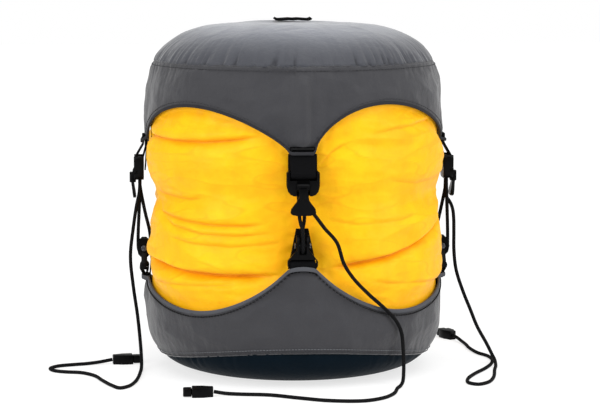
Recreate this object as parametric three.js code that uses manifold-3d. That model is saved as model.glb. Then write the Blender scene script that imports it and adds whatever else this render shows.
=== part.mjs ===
// Compression stuff sack: a drum-shaped fabric sack standing on its base, squeezed between a
// scalloped cap and a scalloped cup by four cord lines, each with a tensioner and a pulley block.
// Millimetres, +Z up, origin on the floor at the middle of the base. The front line is at -Y.
import * as THREE from 'three';
import { mergeVertices } from 'three/addons/utils/BufferGeometryUtils.js';
import Module from 'manifold-3d';

const wasm = await Module();
wasm.setup();

// Overall sizes
const HEIGHT = 292; // floor to the crown of the cap
const WALL_RADIUS = 125.5; // outside of the cap and cup between the lines

// Outline of the drum
const FLOOR_RADIUS = 82; // flat patch that the sack stands on
const CORNER_HEIGHT = 40; // height of the rounding above the floor
const CORNER_POWER = 2.5;
const CROWN_RISE = 92; // height of the rounding below the crown
const CROWN_POWER = 3.6;
const WAIST_PINCH = 8; // how far a line pulls the wall in at the waist
const WAIST_SPREAD = 45;

// Fabric layers
const SHELL_WALL = 1.5;
const LAYER_GAP = 0.5;
const SACK_GAP = 2.2; // clear of the coarse facets of the shells round it
const BINDING_WALL = 0.9;
const BINDING_WIDTH = 5;
const TOUCH_GAP = 0.3;

// Cap and cup edges
const SEAM_DROP = 32; // crown to the cap's gathered seam
const CAP_TIP_DROP = 100; // crown to the cap's four tips
const CAP_ARCH = 36; // rise of the cap's arcs above its tips
const CUP_TIP = 78; // floor to the cup's side and back tips
const CUP_SAG = 17; // fall of the cup's arcs below its tips
const BASE_SEAM = 13; // floor to the seam round the base
const FRONT_LIFT = 18; // the tighter front line lifts the cup's front by this
const TIP_HALF_ANGLE = THREE.MathUtils.degToRad(4.5); // flat end of each tip

// Mouth of the inner sack, gathered in a well under the cap
const WELL_DEPTH = 19;
const WELL_RIM = 60;
const WELL_FLOOR = 36;
const COLLAR_NECK = 6.5;
const COLLAR_FLARE = 15;
const COLLAR_HEIGHT = 11;
const LOCK_OFFSET = 24;
const LOCK_RADIUS = 5.5;
const LOCK_HEIGHT = 12;
const LOCK_BORE = 3.9;
const LOCK_FLOOR = 3;
const BUTTON_RADIUS = 3.5;
const BUTTON_STAND = 5; // how far the button stands out of its body
const SPRING_LENGTH = 4;
const SPRING_WIRE = 0.35;
const SPRING_TURNS = 3;

// Cord and webbing
const CORD_RADIUS = 1.5;
const CORD_SIDES = 8;
const WEB_WIDTH = 20;
const WEB_THICKNESS = 1.5;
const STRAND_GAP = 0.4; // between the strands side by side in a tensioner
const STRAND_PITCH = 2 * CORD_RADIUS + STRAND_GAP;
const GRAB_LENGTH = 31;
const GRAB_BACK = 12;

// Tensioner, measured from its bar
const BAR_OUT = 5.5; // bar's middle outside the wall
const BAR_DROP = 15.5; // bar's middle below the cap's tip
const BAR_HALF = 1.7;
const BAR_CLEARANCE = 0.4;
const TENSIONER_SIDE = 3; // frame beside the webbing
const TENSIONER_WIDTH = WEB_WIDTH + 2 * TENSIONER_SIDE;
const TENSIONER_INNER = 1.3; // inner face outside the wall
const TENSIONER_DEPTH = 8.2;
const TENSIONER_ABOVE_BAR = 3;
const TENSIONER_BELOW_BAR = 17;
const WINDOW_BELOW_BAR = 4.8;
const CHANNEL_CLEARANCE = 0.3;
const CHANNEL_HALF = STRAND_PITCH + CORD_RADIUS + CHANNEL_CLEARANCE;
const CHANNEL_BACK = 1.6; // back wall of the cord channel
const PIN_RADIUS = 1;
const PIN_CLEARANCE = 0.3;
const LEVER_PIN_OUT = 7.5; // lever pin's middle outside the wall
const LEVER_PIN_DROP = 10; // lever pin's middle below the bar
const CAM_RADIUS = 3.4;
const NECK_HALF = 3.5;
const TAB_HALF = 10.2;
const TAB_THICKNESS = 2.4;
const TAB_OUT = 3.4; // inner face of the tab outside the lever pin
const TAB_TILT = THREE.MathUtils.degToRad(8);

// Pulley block, measured from its axle
const AXLE_OUT = 1.5; // axle outside the wall
const AXLE_ABOVE_TIP = 23; // axle above the cup's tip
const WHEEL_RADIUS = 6;
const WHEEL_RIM = 1; // rim outside the cord's middle
const GROOVE_LINE = WHEEL_RADIUS - WHEEL_RIM; // cord's middle round the wheel
const WHEEL_HALF = 2.3;
const WHEEL_BORE = 1.3;
const CHEEK_INNER = 2.9;
const CHEEK_WALL = 2;
const CHEEK_COVER = 0.2; // cheek past the wheel's rim, across
const CHEEK_REACH = 3; // cheek past the wheel's rim, up and down
const CHEEK_RADIAL = WHEEL_RADIUS + CHEEK_COVER;
const CHEEK_TALL = WHEEL_RADIUS + CHEEK_REACH;
const AXLE_HEAD_RADIUS = 2.6;
const AXLE_HEAD_OUT = 1.4;
const YOKE_SIDE = 2; // yoke beside the webbing
const YOKE_HALF = WEB_WIDTH / 2 + YOKE_SIDE;
const YOKE_DEPTH = 4.8;
const YOKE_BAR_DROP = 15.9;
const YOKE_BAR_HALF = 1.6;

// Cord end
const END_LENGTH = 24;
const END_WIDTH = 11;
const END_THICKNESS = 8;
const END_PLUG_LENGTH = 7;
const END_TONGUE = 5;

const COLUMNS = 40;
const BLACK = 0x17181a;

const materials = {
  shell: new THREE.MeshStandardMaterial({ color: 0x54555b, roughness: 0.75, metalness: 0 }),
  crown: new THREE.MeshStandardMaterial({ color: 0x6b7076, roughness: 0.6, metalness: 0 }),
  base: new THREE.MeshStandardMaterial({ color: 0x1f2b36, roughness: 0.5, metalness: 0 }),
  sack: new THREE.MeshStandardMaterial({ color: 0xffbe0c, roughness: 0.6, metalness: 0 }),
  binding: new THREE.MeshStandardMaterial({ color: 0x2a2b2f, roughness: 0.8, metalness: 0 }),
  webbing: new THREE.MeshStandardMaterial({ color: BLACK, roughness: 0.85, metalness: 0 }),
  plastic: new THREE.MeshStandardMaterial({ color: BLACK, roughness: 0.4, metalness: 0 }),
  cord: new THREE.MeshStandardMaterial({ color: 0x1b1c1f, roughness: 0.9, metalness: 0 }),
  steel: new THREE.MeshStandardMaterial({ color: 0x8d9095, roughness: 0.35, metalness: 1 }),
};

// ---- Mesh helpers ----

function welded(geometry) {
  geometry.deleteAttribute('normal');
  geometry.deleteAttribute('uv');
  return mergeVertices(geometry.index ? geometry.toNonIndexed() : geometry, 1e-4);
}

function signedVolume(position, index) {
  const a = new THREE.Vector3();
  const b = new THREE.Vector3();
  const c = new THREE.Vector3();
  let total = 0;
  for (let i = 0; i < index.count; i += 3) {
    a.fromBufferAttribute(position, index.getX(i));
    b.fromBufferAttribute(position, index.getX(i + 1));
    c.fromBufferAttribute(position, index.getX(i + 2));
    total += a.dot(b.cross(c)) / 6;
  }
  return total;
}

// Drops triangles that have shrunk to a line, and turns the faces to point out.
function tidied(geometry) {
  const solid = welded(geometry);
  const kept = [];
  for (let i = 0; i < solid.index.count; i += 3) {
    const [a, b, c] = [0, 1, 2].map((corner) => solid.index.getX(i + corner));
    if (a !== b && b !== c && c !== a) kept.push(a, b, c);
  }
  solid.setIndex(kept);
  if (signedVolume(solid.attributes.position, solid.index) < 0) {
    for (let i = 0; i < kept.length; i += 3) [kept[i], kept[i + 1]] = [kept[i + 1], kept[i]];
    solid.setIndex(kept);
  }
  return solid;
}

function solidOf(geometry) {
  const clean = tidied(geometry);
  return new wasm.Manifold(new wasm.Mesh({
    numProp: 3,
    vertProperties: new Float32Array(clean.attributes.position.array),
    triVerts: new Uint32Array(clean.index.array),
  }));
}

function geometryOf(solid) {
  const mesh = solid.getMesh();
  const geometry = new THREE.BufferGeometry();
  geometry.setAttribute('position', new THREE.BufferAttribute(mesh.vertProperties.slice(), 3));
  geometry.setIndex(new THREE.BufferAttribute(mesh.triVerts.slice(), 1));
  return geometry;
}

function combined(start, added, cut) {
  const whole = added.reduce((sum, piece) => sum.add(solidOf(piece)), solidOf(start));
  return geometryOf(cut.reduce((sum, piece) => sum.subtract(solidOf(piece)), whole));
}

function named(name, geometry, material) {
  const mesh = new THREE.Mesh(geometry, material);
  mesh.name = name;
  return mesh;
}

// ---- Outline of the drum: radius at a height, inset by the layers outside it ----

function meridianRadius(height, inset) {
  const wall = WALL_RADIUS - inset;
  const crownStart = HEIGHT - CROWN_RISE;
  if (height < CORNER_HEIGHT) {
    const fall = Math.min(1, (CORNER_HEIGHT - height) / (CORNER_HEIGHT - inset));
    const share = (1 - fall ** CORNER_POWER) ** (1 / CORNER_POWER);
    return FLOOR_RADIUS + (wall - FLOOR_RADIUS) * share;
  }
  if (height > crownStart) {
    const rise = Math.min(1, (height - crownStart) / (CROWN_RISE - inset));
    return wall * (1 - rise ** CROWN_POWER) ** (1 / CROWN_POWER);
  }
  return wall;
}

function crownHeight(radius, inset) {
  const share = Math.min(1, radius / (WALL_RADIUS - inset));
  return HEIGHT - CROWN_RISE + (CROWN_RISE - inset) * (1 - share ** CROWN_POWER) ** (1 / CROWN_POWER);
}

// 1 on a compression line and 0 halfway between two lines
function lineShare(turn) {
  return ((1 + Math.cos(4 * turn)) / 2) ** 2;
}

function frontLift(turn) {
  return FRONT_LIFT * Math.max(0, Math.cos(turn)) ** 2;
}

const CAP_TIP = HEIGHT - CAP_TIP_DROP;
const CAP_SEAM = HEIGHT - SEAM_DROP;
const WAIST = (CAP_TIP + CUP_TIP) / 2;

function wallRadius(turn, height, inset) {
  const pinch = WAIST_PINCH * Math.exp(-(((height - WAIST) / WAIST_SPREAD) ** 2));
  return meridianRadius(height, inset) - pinch * lineShare(turn);
}

// 0 at a tip and 1 at the middle of an arc
function scallop(turn) {
  const quarter = Math.PI / 2;
  const fromLine = Math.abs(turn - quarter * Math.round(turn / quarter));
  const past = Math.max(0, fromLine - TIP_HALF_ANGLE) / (quarter / 2 - TIP_HALF_ANGLE);
  return Math.sin(past * quarter) ** 0.95;
}

function capEdge(turn) {
  return CAP_TIP + CAP_ARCH * scallop(turn);
}

function cupEdge(turn) {
  const fall = CUP_SAG + frontLift(turn);
  return CUP_TIP + frontLift(turn) - fall * scallop(turn);
}

function baseSeam(turn) {
  return BASE_SEAM + frontLift(turn);
}

// ---- Skins swept round the axis: each row gives its radius and height at a turn ----

function sweptSkin(rows, endsOnAxis) {
  const last = rows.length - 1;
  const outline = rows.map((row, i) => {
    const onAxis = endsOnAxis && (i === 0 || i === last);
    return new THREE.Vector2(onAxis ? 0 : 1, i);
  });
  if (!endsOnAxis) outline.push(outline[0].clone());
  const geometry = new THREE.LatheGeometry(outline, COLUMNS);
  const position = geometry.attributes.position;
  for (let i = 0; i < position.count; i += 1) {
    const share = Math.hypot(position.getX(i), position.getZ(i));
    const turn = Math.atan2(position.getX(i), position.getZ(i));
    const [radius, height] = rows[Math.round(position.getY(i))](turn);
    const reach = share * radius;
    position.setXYZ(i, reach * Math.sin(turn), -reach * Math.cos(turn), height);
  }
  return tidied(geometry);
}

function wallRow(low, high, share, inset) {
  return (turn) => {
    const height = THREE.MathUtils.lerp(low(turn), high(turn), share);
    return [wallRadius(turn, height, inset), height];
  };
}

function band(low, high, inner, outer, steps) {
  const rows = [];
  for (let i = 0; i <= steps; i += 1) rows.push(wallRow(low, high, i / steps, outer));
  for (let i = steps; i >= 0; i -= 1) rows.push(wallRow(low, high, i / steps, inner));
  return sweptSkin(rows, false);
}

function crownRow(share, rimHeight, inset) {
  return () => {
    const radius = share * meridianRadius(rimHeight, inset);
    return [radius, crownHeight(radius, inset)];
  };
}

function cornerRow(share, rim, inset) {
  return (turn) => {
    const height = inset + (rim(turn) - inset) * share * share;
    return [wallRadius(turn, height, inset), height];
  };
}

function capCrown() {
  const rim = CAP_SEAM + TOUCH_GAP;
  const shares = [0, 0.4, 0.7, 0.88, 1];
  const outside = shares.map((share) => crownRow(share, rim, 0));
  const inside = shares.map((share) => crownRow(share, rim, SHELL_WALL)).reverse();
  return sweptSkin([...outside, ...inside], true);
}

function baseDisc() {
  const rim = (turn) => baseSeam(turn) - TOUCH_GAP;
  const layer = (inset) => [
    () => [0, inset],
    () => [FLOOR_RADIUS, inset],
    ...[0.3, 0.55, 0.8, 1].map((share) => cornerRow(share, rim, inset)),
  ];
  return sweptSkin([...layer(0), ...layer(SHELL_WALL).reverse()], true);
}

function wellFall(radius) {
  const share = THREE.MathUtils.clamp((WELL_RIM - radius) / (WELL_RIM - WELL_FLOOR), 0, 1);
  return WELL_DEPTH * share * share * (3 - 2 * share);
}

const SACK_INSET = SHELL_WALL + SACK_GAP;
const WELL_LEVEL = HEIGHT - SACK_INSET - WELL_DEPTH;

function sackBody() {
  const low = () => CORNER_HEIGHT;
  const high = () => HEIGHT - CROWN_RISE;
  const wallSteps = 7;
  const rows = [() => [0, SACK_INSET], () => [FLOOR_RADIUS, SACK_INSET]];
  [0.2, 0.4, 0.7].forEach((share) => rows.push(cornerRow(share, low, SACK_INSET)));
  for (let i = 0; i <= wallSteps; i += 1) rows.push(wallRow(low, high, i / wallSteps, SACK_INSET));
  const crownRadii = [0.98, 0.9, 0.75].map((share) => share * (WALL_RADIUS - SACK_INSET));
  const wellRadii = [WELL_RIM, (WELL_RIM + WELL_FLOOR) / 2, WELL_FLOOR, 0];
  [...crownRadii, ...wellRadii].forEach((radius) => {
    rows.push(() => [radius, crownHeight(radius, SACK_INSET) - wellFall(radius)]);
  });
  return sweptSkin(rows, true);
}

// ---- Shapes built in a line's own frame: x across, outward is -y, z up ----

const sideways = new THREE.Matrix4().makeBasis(
  new THREE.Vector3(0, -1, 0),
  new THREE.Vector3(0, 0, 1),
  new THREE.Vector3(-1, 0, 0),
);
const facing = new THREE.Matrix4().makeBasis(
  new THREE.Vector3(1, 0, 0),
  new THREE.Vector3(0, 0, 1),
  new THREE.Vector3(0, -1, 0),
);

function extruded(shape, depth, curveSegments = 5) {
  return new THREE.ExtrudeGeometry(shape, { depth, bevelEnabled: false, curveSegments });
}

// A shape drawn as (outward, up), as wide as asked across the line
function sideProfile(shape, width, from = -width / 2) {
  return extruded(shape, width).translate(0, 0, -from - width).applyMatrix4(sideways);
}

// A shape drawn as (across, up), between two distances from the axis
function frontOutline(shape, inner, outer) {
  return extruded(shape, outer - inner).translate(0, 0, inner).applyMatrix4(facing);
}

function block(halfWidth, inner, outer, low, high) {
  return new THREE.BoxGeometry(2 * halfWidth, outer - inner, high - low)
    .translate(0, -(inner + outer) / 2, (low + high) / 2);
}

function crossRod(radius, halfWidth, out, height, sides = 10) {
  return new THREE.CylinderGeometry(radius, radius, 2 * halfWidth, sides)
    .rotateZ(Math.PI / 2)
    .translate(0, -out, height);
}

function polygon(points) {
  return new THREE.Shape(points.map(([x, y]) => new THREE.Vector2(x, y)));
}

function mirroredOutline(right) {
  const left = right.map(([x, y]) => [-x, y]).reverse();
  return polygon([...right, ...left]);
}

function cordAlong(points, steps) {
  const section = [];
  for (let i = 0; i < CORD_SIDES; i += 1) {
    const angle = (2 * Math.PI * i) / CORD_SIDES;
    section.push([CORD_RADIUS * Math.cos(angle), CORD_RADIUS * Math.sin(angle)]);
  }
  const path = new THREE.CatmullRomCurve3(points, false, 'centripetal');
  const options = { steps, extrudePath: path, bevelEnabled: false };
  return tidied(new THREE.ExtrudeGeometry(polygon(section), options));
}

// Webbing folded round a bar and sewn to the shell: up is +1 above the bar, -1 below it
function webbingLoop(barOut, barHeight, barHalf, sewn, up) {
  const inner = barHalf * Math.SQRT2 + BAR_CLEARANCE;
  const outer = inner + WEB_THICKNESS;
  const wrap = THREE.MathUtils.degToRad(20); // how far past half a turn the webbing hugs the bar
  const place = (out, rise) => [out, barHeight + up * rise];
  const arc = (radius) => {
    const points = [];
    for (let i = 0; i <= 6; i += 1) {
      const angle = Math.PI - wrap + (i / 6) * (Math.PI + 2 * wrap);
      points.push(place(barOut + radius * Math.cos(angle), radius * Math.sin(angle)));
    }
    return points;
  };
  const shape = polygon([
    place(sewn.out, sewn.far),
    place(sewn.out, sewn.near),
    ...arc(outer),
    place(sewn.out + 2 * WEB_THICKNESS, sewn.near + WEB_THICKNESS),
    place(sewn.out + WEB_THICKNESS, sewn.far),
  ]);
  const gap = polygon([...arc(inner), place(sewn.out + WEB_THICKNESS, sewn.near - WEB_THICKNESS)]);
  return combined(sideProfile(shape, WEB_WIDTH), [], [sideProfile(gap, WEB_WIDTH + 2)]);
}

// Where webbing lies on a bound edge
function sewnRadius(height) {
  return wallRadius(0, height, -TOUCH_GAP - BINDING_WALL) + LAYER_GAP;
}

// ---- Tensioner on a cap tip ----

const BAR_HEIGHT = CAP_TIP - BAR_DROP;
const BAR_RADIUS = WALL_RADIUS + BAR_OUT;
const LEVER_PIN = { out: WALL_RADIUS + LEVER_PIN_OUT, height: BAR_HEIGHT - LEVER_PIN_DROP };
const STRAND_OUT = WALL_RADIUS + TENSIONER_INNER + CHANNEL_BACK + CORD_RADIUS + TOUCH_GAP;
const STRAND_TOP = LEVER_PIN.height - CAM_RADIUS - TOUCH_GAP;

function tensionerWebbing() {
  const far = BAR_DROP + 9;
  const sewn = { out: sewnRadius(BAR_HEIGHT + far), near: BAR_DROP - 2, far };
  return webbingLoop(BAR_RADIUS, BAR_HEIGHT, BAR_HALF, sewn, 1);
}

function tensionerBody() {
  const half = TENSIONER_WIDTH / 2;
  const top = BAR_HEIGHT + TENSIONER_ABOVE_BAR;
  const bottom = BAR_HEIGHT - TENSIONER_BELOW_BAR;
  const inner = WALL_RADIUS + TENSIONER_INNER;
  const outer = inner + TENSIONER_DEPTH;
  const outline = mirroredOutline([
    [half * 0.55, bottom],
    [half * 0.75, bottom + 1],
    [half * 0.92, bottom + 3.5],
    [half, bottom + 8],
    [half, top - 2.5],
    [half - 1.5, top],
  ]);
  const bar = block(half, BAR_RADIUS - BAR_HALF, BAR_RADIUS + BAR_HALF,
    BAR_HEIGHT - BAR_HALF, BAR_HEIGHT + BAR_HALF);
  const window = block(WEB_WIDTH / 2 + 0.6, inner - 1, outer + 1, BAR_HEIGHT - WINDOW_BELOW_BAR, top + 1);
  const channel = block(CHANNEL_HALF, inner + CHANNEL_BACK, outer + 1, bottom - 1,
    BAR_HEIGHT - WINDOW_BELOW_BAR + 1);
  const pinHole = crossRod(PIN_RADIUS + PIN_CLEARANCE, half + 1, LEVER_PIN.out, LEVER_PIN.height);
  const frame = geometryOf(
    solidOf(frontOutline(outline, inner, outer))
      .subtract(solidOf(window))
      .subtract(solidOf(channel))
      .subtract(solidOf(pinHole)),
  );
  return combined(frame, [bar], []);
}

function thumbLever() {
  const { out, height } = LEVER_PIN;
  const cam = crossRod(CAM_RADIUS, CHANNEL_HALF - TOUCH_GAP, out, height, 14);
  const neck = block(NECK_HALF, out + 0.5, out + TAB_OUT + TAB_THICKNESS, height - 9.5, height - 1);
  const tab = mirroredOutline([
    [TAB_HALF * 0.5, height - 22],
    [TAB_HALF * 0.9, height - 21],
    [TAB_HALF, height - 19.5],
    [TAB_HALF * 0.94, height - 16.5],
    [NECK_HALF + 1.6, height - 10.5],
    [NECK_HALF, height - 6.5],
  ]);
  const plate = frontOutline(tab, out + TAB_OUT, out + TAB_OUT + TAB_THICKNESS)
    .translate(0, out, -height)
    .rotateX(TAB_TILT)
    .translate(0, -out, height);
  const hole = crossRod(PIN_RADIUS + PIN_CLEARANCE, CHANNEL_HALF + 1, out, height);
  return combined(cam, [neck, plate], [hole]);
}

function leverPin() {
  return tidied(crossRod(PIN_RADIUS, TENSIONER_WIDTH / 2 - 0.4, LEVER_PIN.out, LEVER_PIN.height));
}

// ---- Pulley block on a cup tip ----

const AXLE_RADIUS = WALL_RADIUS + AXLE_OUT;

function pulleyBlock(axle) {
  const yokeBar = axle - YOKE_BAR_DROP;
  const cheek = new THREE.Shape();
  cheek.absellipse(AXLE_RADIUS, axle, CHEEK_RADIAL, CHEEK_TALL, 0, 2 * Math.PI);
  const cheeks = [CHEEK_INNER, -CHEEK_INNER - CHEEK_WALL]
    .map((from) => sideProfile(cheek, CHEEK_WALL, from));
  const cheekEdge = CHEEK_INNER + CHEEK_WALL;
  const yoke = mirroredOutline([
    [YOKE_HALF - 1, yokeBar - YOKE_BAR_HALF],
    [YOKE_HALF, yokeBar],
    [YOKE_HALF, yokeBar + 4],
    [cheekEdge, axle - AXLE_HEAD_RADIUS - 0.6],
  ]);
  const innerFace = AXLE_RADIUS - YOKE_DEPTH / 2;
  const outerFace = AXLE_RADIUS + YOKE_DEPTH / 2;
  const bar = block(YOKE_HALF - 1, AXLE_RADIUS - YOKE_BAR_HALF, AXLE_RADIUS + YOKE_BAR_HALF,
    yokeBar - YOKE_BAR_HALF, yokeBar + YOKE_BAR_HALF);
  const window = block(WEB_WIDTH / 2 + 0.6, innerFace - 3, outerFace + 3,
    yokeBar - YOKE_BAR_HALF - 1, yokeBar + 5.1);
  const wheelRoom = crossRod(WHEEL_RADIUS + 1, CHEEK_INNER, AXLE_RADIUS, axle, 16);
  const axleHole = crossRod(PIN_RADIUS + PIN_CLEARANCE, YOKE_HALF, AXLE_RADIUS, axle);
  const frame = combined(frontOutline(yoke, innerFace, outerFace), cheeks, [window, wheelRoom, axleHole]);
  return combined(frame, [bar], []);
}

function pulleyWheel(axle) {
  const grooveFloor = GROOVE_LINE - CORD_RADIUS - 1.1;
  const profile = [
    [WHEEL_BORE, -WHEEL_HALF],
    [WHEEL_RADIUS, -WHEEL_HALF],
    [WHEEL_RADIUS, -WHEEL_HALF + 0.35],
    [grooveFloor, -1.2],
    [grooveFloor, 1.2],
    [WHEEL_RADIUS, WHEEL_HALF - 0.35],
    [WHEEL_RADIUS, WHEEL_HALF],
    [WHEEL_BORE, WHEEL_HALF],
    [WHEEL_BORE, -WHEEL_HALF],
  ].map(([x, y]) => new THREE.Vector2(x, y));
  const wheel = new THREE.LatheGeometry(profile, 12).rotateZ(Math.PI / 2);
  return tidied(wheel.translate(0, -AXLE_RADIUS, axle));
}

function pulleyAxle(axle) {
  const reach = CHEEK_INNER + CHEEK_WALL + TOUCH_GAP;
  const head = (side) => new THREE.CylinderGeometry(AXLE_HEAD_RADIUS, AXLE_HEAD_RADIUS, AXLE_HEAD_OUT, 12)
    .rotateZ(Math.PI / 2)
    .translate(side * (reach + AXLE_HEAD_OUT / 2), -AXLE_RADIUS, axle);
  return combined(crossRod(PIN_RADIUS, reach + 0.5, AXLE_RADIUS, axle), [head(1), head(-1)], []);
}

function pulleyWebbing(axle) {
  const bar = axle - YOKE_BAR_DROP;
  const near = AXLE_ABOVE_TIP - YOKE_BAR_DROP - LAYER_GAP;
  const far = near + 12;
  return webbingLoop(AXLE_RADIUS, bar, YOKE_BAR_HALF, { out: sewnRadius(bar - far), near, far }, -1);
}

// Cord from the tensioner down the outside, round the wheel and back up to the tensioner
function runningCord(axle) {
  const point = (across, out, height) => new THREE.Vector3(across, -out, height);
  const outside = AXLE_RADIUS + GROOVE_LINE;
  const inside = AXLE_RADIUS - GROOVE_LINE;
  const points = [
    point(-STRAND_PITCH, STRAND_OUT, STRAND_TOP),
    point(-STRAND_PITCH, STRAND_OUT, STRAND_TOP - 8),
    point(-0.2, outside, axle + 13),
  ];
  for (let i = 0; i <= 6; i += 1) {
    const angle = (i / 6) * Math.PI;
    const out = AXLE_RADIUS + GROOVE_LINE * Math.cos(angle);
    points.push(point(0, out, axle - GROOVE_LINE * Math.sin(angle)));
  }
  points.push(point(0.2, inside, axle + 13));
  points.push(point(0, STRAND_OUT, STRAND_TOP - 8));
  points.push(point(0, STRAND_OUT, STRAND_TOP));
  return cordAlong(points, 24);
}

// ---- Gathered mouth, its drawcord and cord lock ----

function uprightTurned(profile, sides) {
  const outline = profile.map(([x, y]) => new THREE.Vector2(x, y));
  return tidied(new THREE.LatheGeometry(outline, sides).rotateX(Math.PI / 2));
}

function mouthCollar() {
  const low = WELL_LEVEL + TOUCH_GAP;
  return uprightTurned([
    [0, low],
    [COLLAR_NECK + 0.5, low],
    [COLLAR_NECK, low + 4],
    [COLLAR_FLARE, low + COLLAR_HEIGHT - 2],
    [COLLAR_FLARE - 1, low + COLLAR_HEIGHT],
    [0, low + COLLAR_HEIGHT - 2],
  ], 24);
}

function drawcord() {
  const height = WELL_LEVEL + TOUCH_GAP + CORD_RADIUS + 0.2;
  const ring = COLLAR_NECK + 0.9 + CORD_RADIUS;
  const endX = LOCK_OFFSET - LOCK_RADIUS - LAYER_GAP;
  const spread = CORD_RADIUS + 0.6;
  const points = [new THREE.Vector3(endX, spread, height), new THREE.Vector3(endX - 4, spread, height)];
  for (let angle = 50; angle <= 310; angle += 26) {
    const turn = THREE.MathUtils.degToRad(angle);
    points.push(new THREE.Vector3(ring * Math.cos(turn), ring * Math.sin(turn), height));
  }
  points.push(new THREE.Vector3(endX - 4, -spread, height));
  points.push(new THREE.Vector3(endX, -spread, height));
  return cordAlong(points, 16);
}

const LOCK_BASE = WELL_LEVEL + TOUCH_GAP;
const LOCK_BORE_FLOOR = LOCK_BASE + LOCK_FLOOR;
const SPRING_BASE = LOCK_BORE_FLOOR + TOUCH_GAP;
const BUTTON_BASE = SPRING_BASE + SPRING_LENGTH + TOUCH_GAP;

function cordLockBody() {
  return uprightTurned([
    [0, LOCK_BASE],
    [LOCK_RADIUS - 0.6, LOCK_BASE],
    [LOCK_RADIUS, LOCK_BASE + 0.8],
    [LOCK_RADIUS, LOCK_BASE + LOCK_HEIGHT],
    [LOCK_BORE, LOCK_BASE + LOCK_HEIGHT],
    [LOCK_BORE, LOCK_BORE_FLOOR],
    [0, LOCK_BORE_FLOOR],
  ], 16);
}

function cordLockButton() {
  const top = LOCK_BASE + LOCK_HEIGHT + BUTTON_STAND;
  return uprightTurned([
    [0, BUTTON_BASE],
    [BUTTON_RADIUS, BUTTON_BASE],
    [BUTTON_RADIUS, top - 0.8],
    [BUTTON_RADIUS - 0.8, top],
    [0, top],
  ], 16);
}

class Helix extends THREE.Curve {
  getPoint(share, target = new THREE.Vector3()) {
    const angle = share * SPRING_TURNS * 2 * Math.PI;
    const radius = BUTTON_RADIUS - 2 * SPRING_WIRE;
    const rise = SPRING_WIRE + share * (SPRING_LENGTH - 2 * SPRING_WIRE);
    return target.set(radius * Math.cos(angle), radius * Math.sin(angle), SPRING_BASE + rise);
  }
}

function cordLockSpring() {
  const section = [];
  for (let i = 0; i < 4; i += 1) {
    const angle = (Math.PI * i) / 2;
    section.push([SPRING_WIRE * Math.cos(angle), SPRING_WIRE * Math.sin(angle)]);
  }
  const options = { steps: 8 * SPRING_TURNS, extrudePath: new Helix(), bevelEnabled: false };
  return tidied(new THREE.ExtrudeGeometry(polygon(section), options));
}

// ---- Grab loop on the crown ----

function grabLoop() {
  const half = GRAB_LENGTH / 2;
  const rise = 2;
  const arch = mirroredOutline([
    [half * 0.42, rise],
    [half * 0.56, 0],
    [half, 0],
    [half, WEB_THICKNESS],
    [half * 0.62, WEB_THICKNESS],
    [half * 0.46, rise + WEB_THICKNESS],
  ]);
  const low = HEIGHT + TOUCH_GAP;
  return tidied(extruded(arch, WEB_WIDTH).rotateX(Math.PI / 2).translate(0, GRAB_BACK + WEB_WIDTH / 2, low));
}

// ---- Cord ends: a shell crimped on the cord, and the plug that closes it ----

function cordEndShell() {
  const half = END_WIDTH / 2;
  const mouth = END_LENGTH - END_PLUG_LENGTH;
  const outline = polygon([
    [0, -half * 0.55],
    [4, -half * 0.7],
    [8, -half],
    [mouth, -half],
    [mouth, half],
    [8, half],
    [4, half * 0.7],
    [0, half * 0.55],
  ]);
  const body = extruded(outline, END_THICKNESS);
  const socket = new THREE.BoxGeometry(END_TONGUE + 1, half + 0.6, END_THICKNESS / 2 + 0.6)
    .translate(mouth - END_TONGUE / 2 + 0.5, 0, END_THICKNESS / 2);
  return combined(body, [], [socket]);
}

function cordEndPlug() {
  const half = END_WIDTH / 2 - 1.2;
  const mouth = END_LENGTH - END_PLUG_LENGTH + TOUCH_GAP;
  const outline = polygon([
    [mouth, -half],
    [END_LENGTH - 1.2, -half],
    [END_LENGTH, -half + 1.2],
    [END_LENGTH, half - 1.2],
    [END_LENGTH - 1.2, half],
    [mouth, half],
  ]);
  const head = extruded(outline, END_THICKNESS - 1.6).translate(0, 0, 0.8);
  const tongue = new THREE.BoxGeometry(END_TONGUE, END_WIDTH / 2, END_THICKNESS / 2)
    .translate(mouth - END_TONGUE / 2 + 0.5, 0, END_THICKNESS / 2);
  return combined(head, [tongue], []);
}

// ---- Assembly ----

const sack = new THREE.Group();

function addSackAndShells() {
  const seamTop = () => CAP_SEAM;
  const above = (edge) => (turn) => edge(turn) + BINDING_WIDTH;
  const below = (edge) => (turn) => edge(turn) - BINDING_WIDTH;
  const bindingOuter = -TOUCH_GAP - BINDING_WALL;
  sack.add(named('base_disc', baseDisc(), materials.base));
  sack.add(named('cup_band', band(baseSeam, cupEdge, SHELL_WALL, 0, 4), materials.shell));
  sack.add(named('cup_binding', band(below(cupEdge), cupEdge, -TOUCH_GAP, bindingOuter, 1), materials.binding));
  sack.add(named('sack_body', sackBody(), materials.sack));
  sack.add(named('cap_band', band(capEdge, seamTop, SHELL_WALL, 0, 4), materials.shell));
  sack.add(named('cap_binding', band(capEdge, above(capEdge), -TOUCH_GAP, bindingOuter, 1), materials.binding));
  sack.add(named('cap_crown', capCrown(), materials.crown));
  sack.add(named('grab_loop', grabLoop(), materials.webbing));
}

function addMouthClosure() {
  sack.add(named('mouth_collar', mouthCollar(), materials.sack));
  sack.add(named('mouth_drawcord', drawcord(), materials.cord));
  const lock = new THREE.Group();
  lock.position.x = LOCK_OFFSET;
  lock.add(named('cord_lock_body', cordLockBody(), materials.plastic));
  lock.add(named('cord_lock_button', cordLockButton(), materials.plastic));
  lock.add(named('cord_lock_spring', cordLockSpring(), materials.steel));
  sack.add(lock);
}

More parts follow.
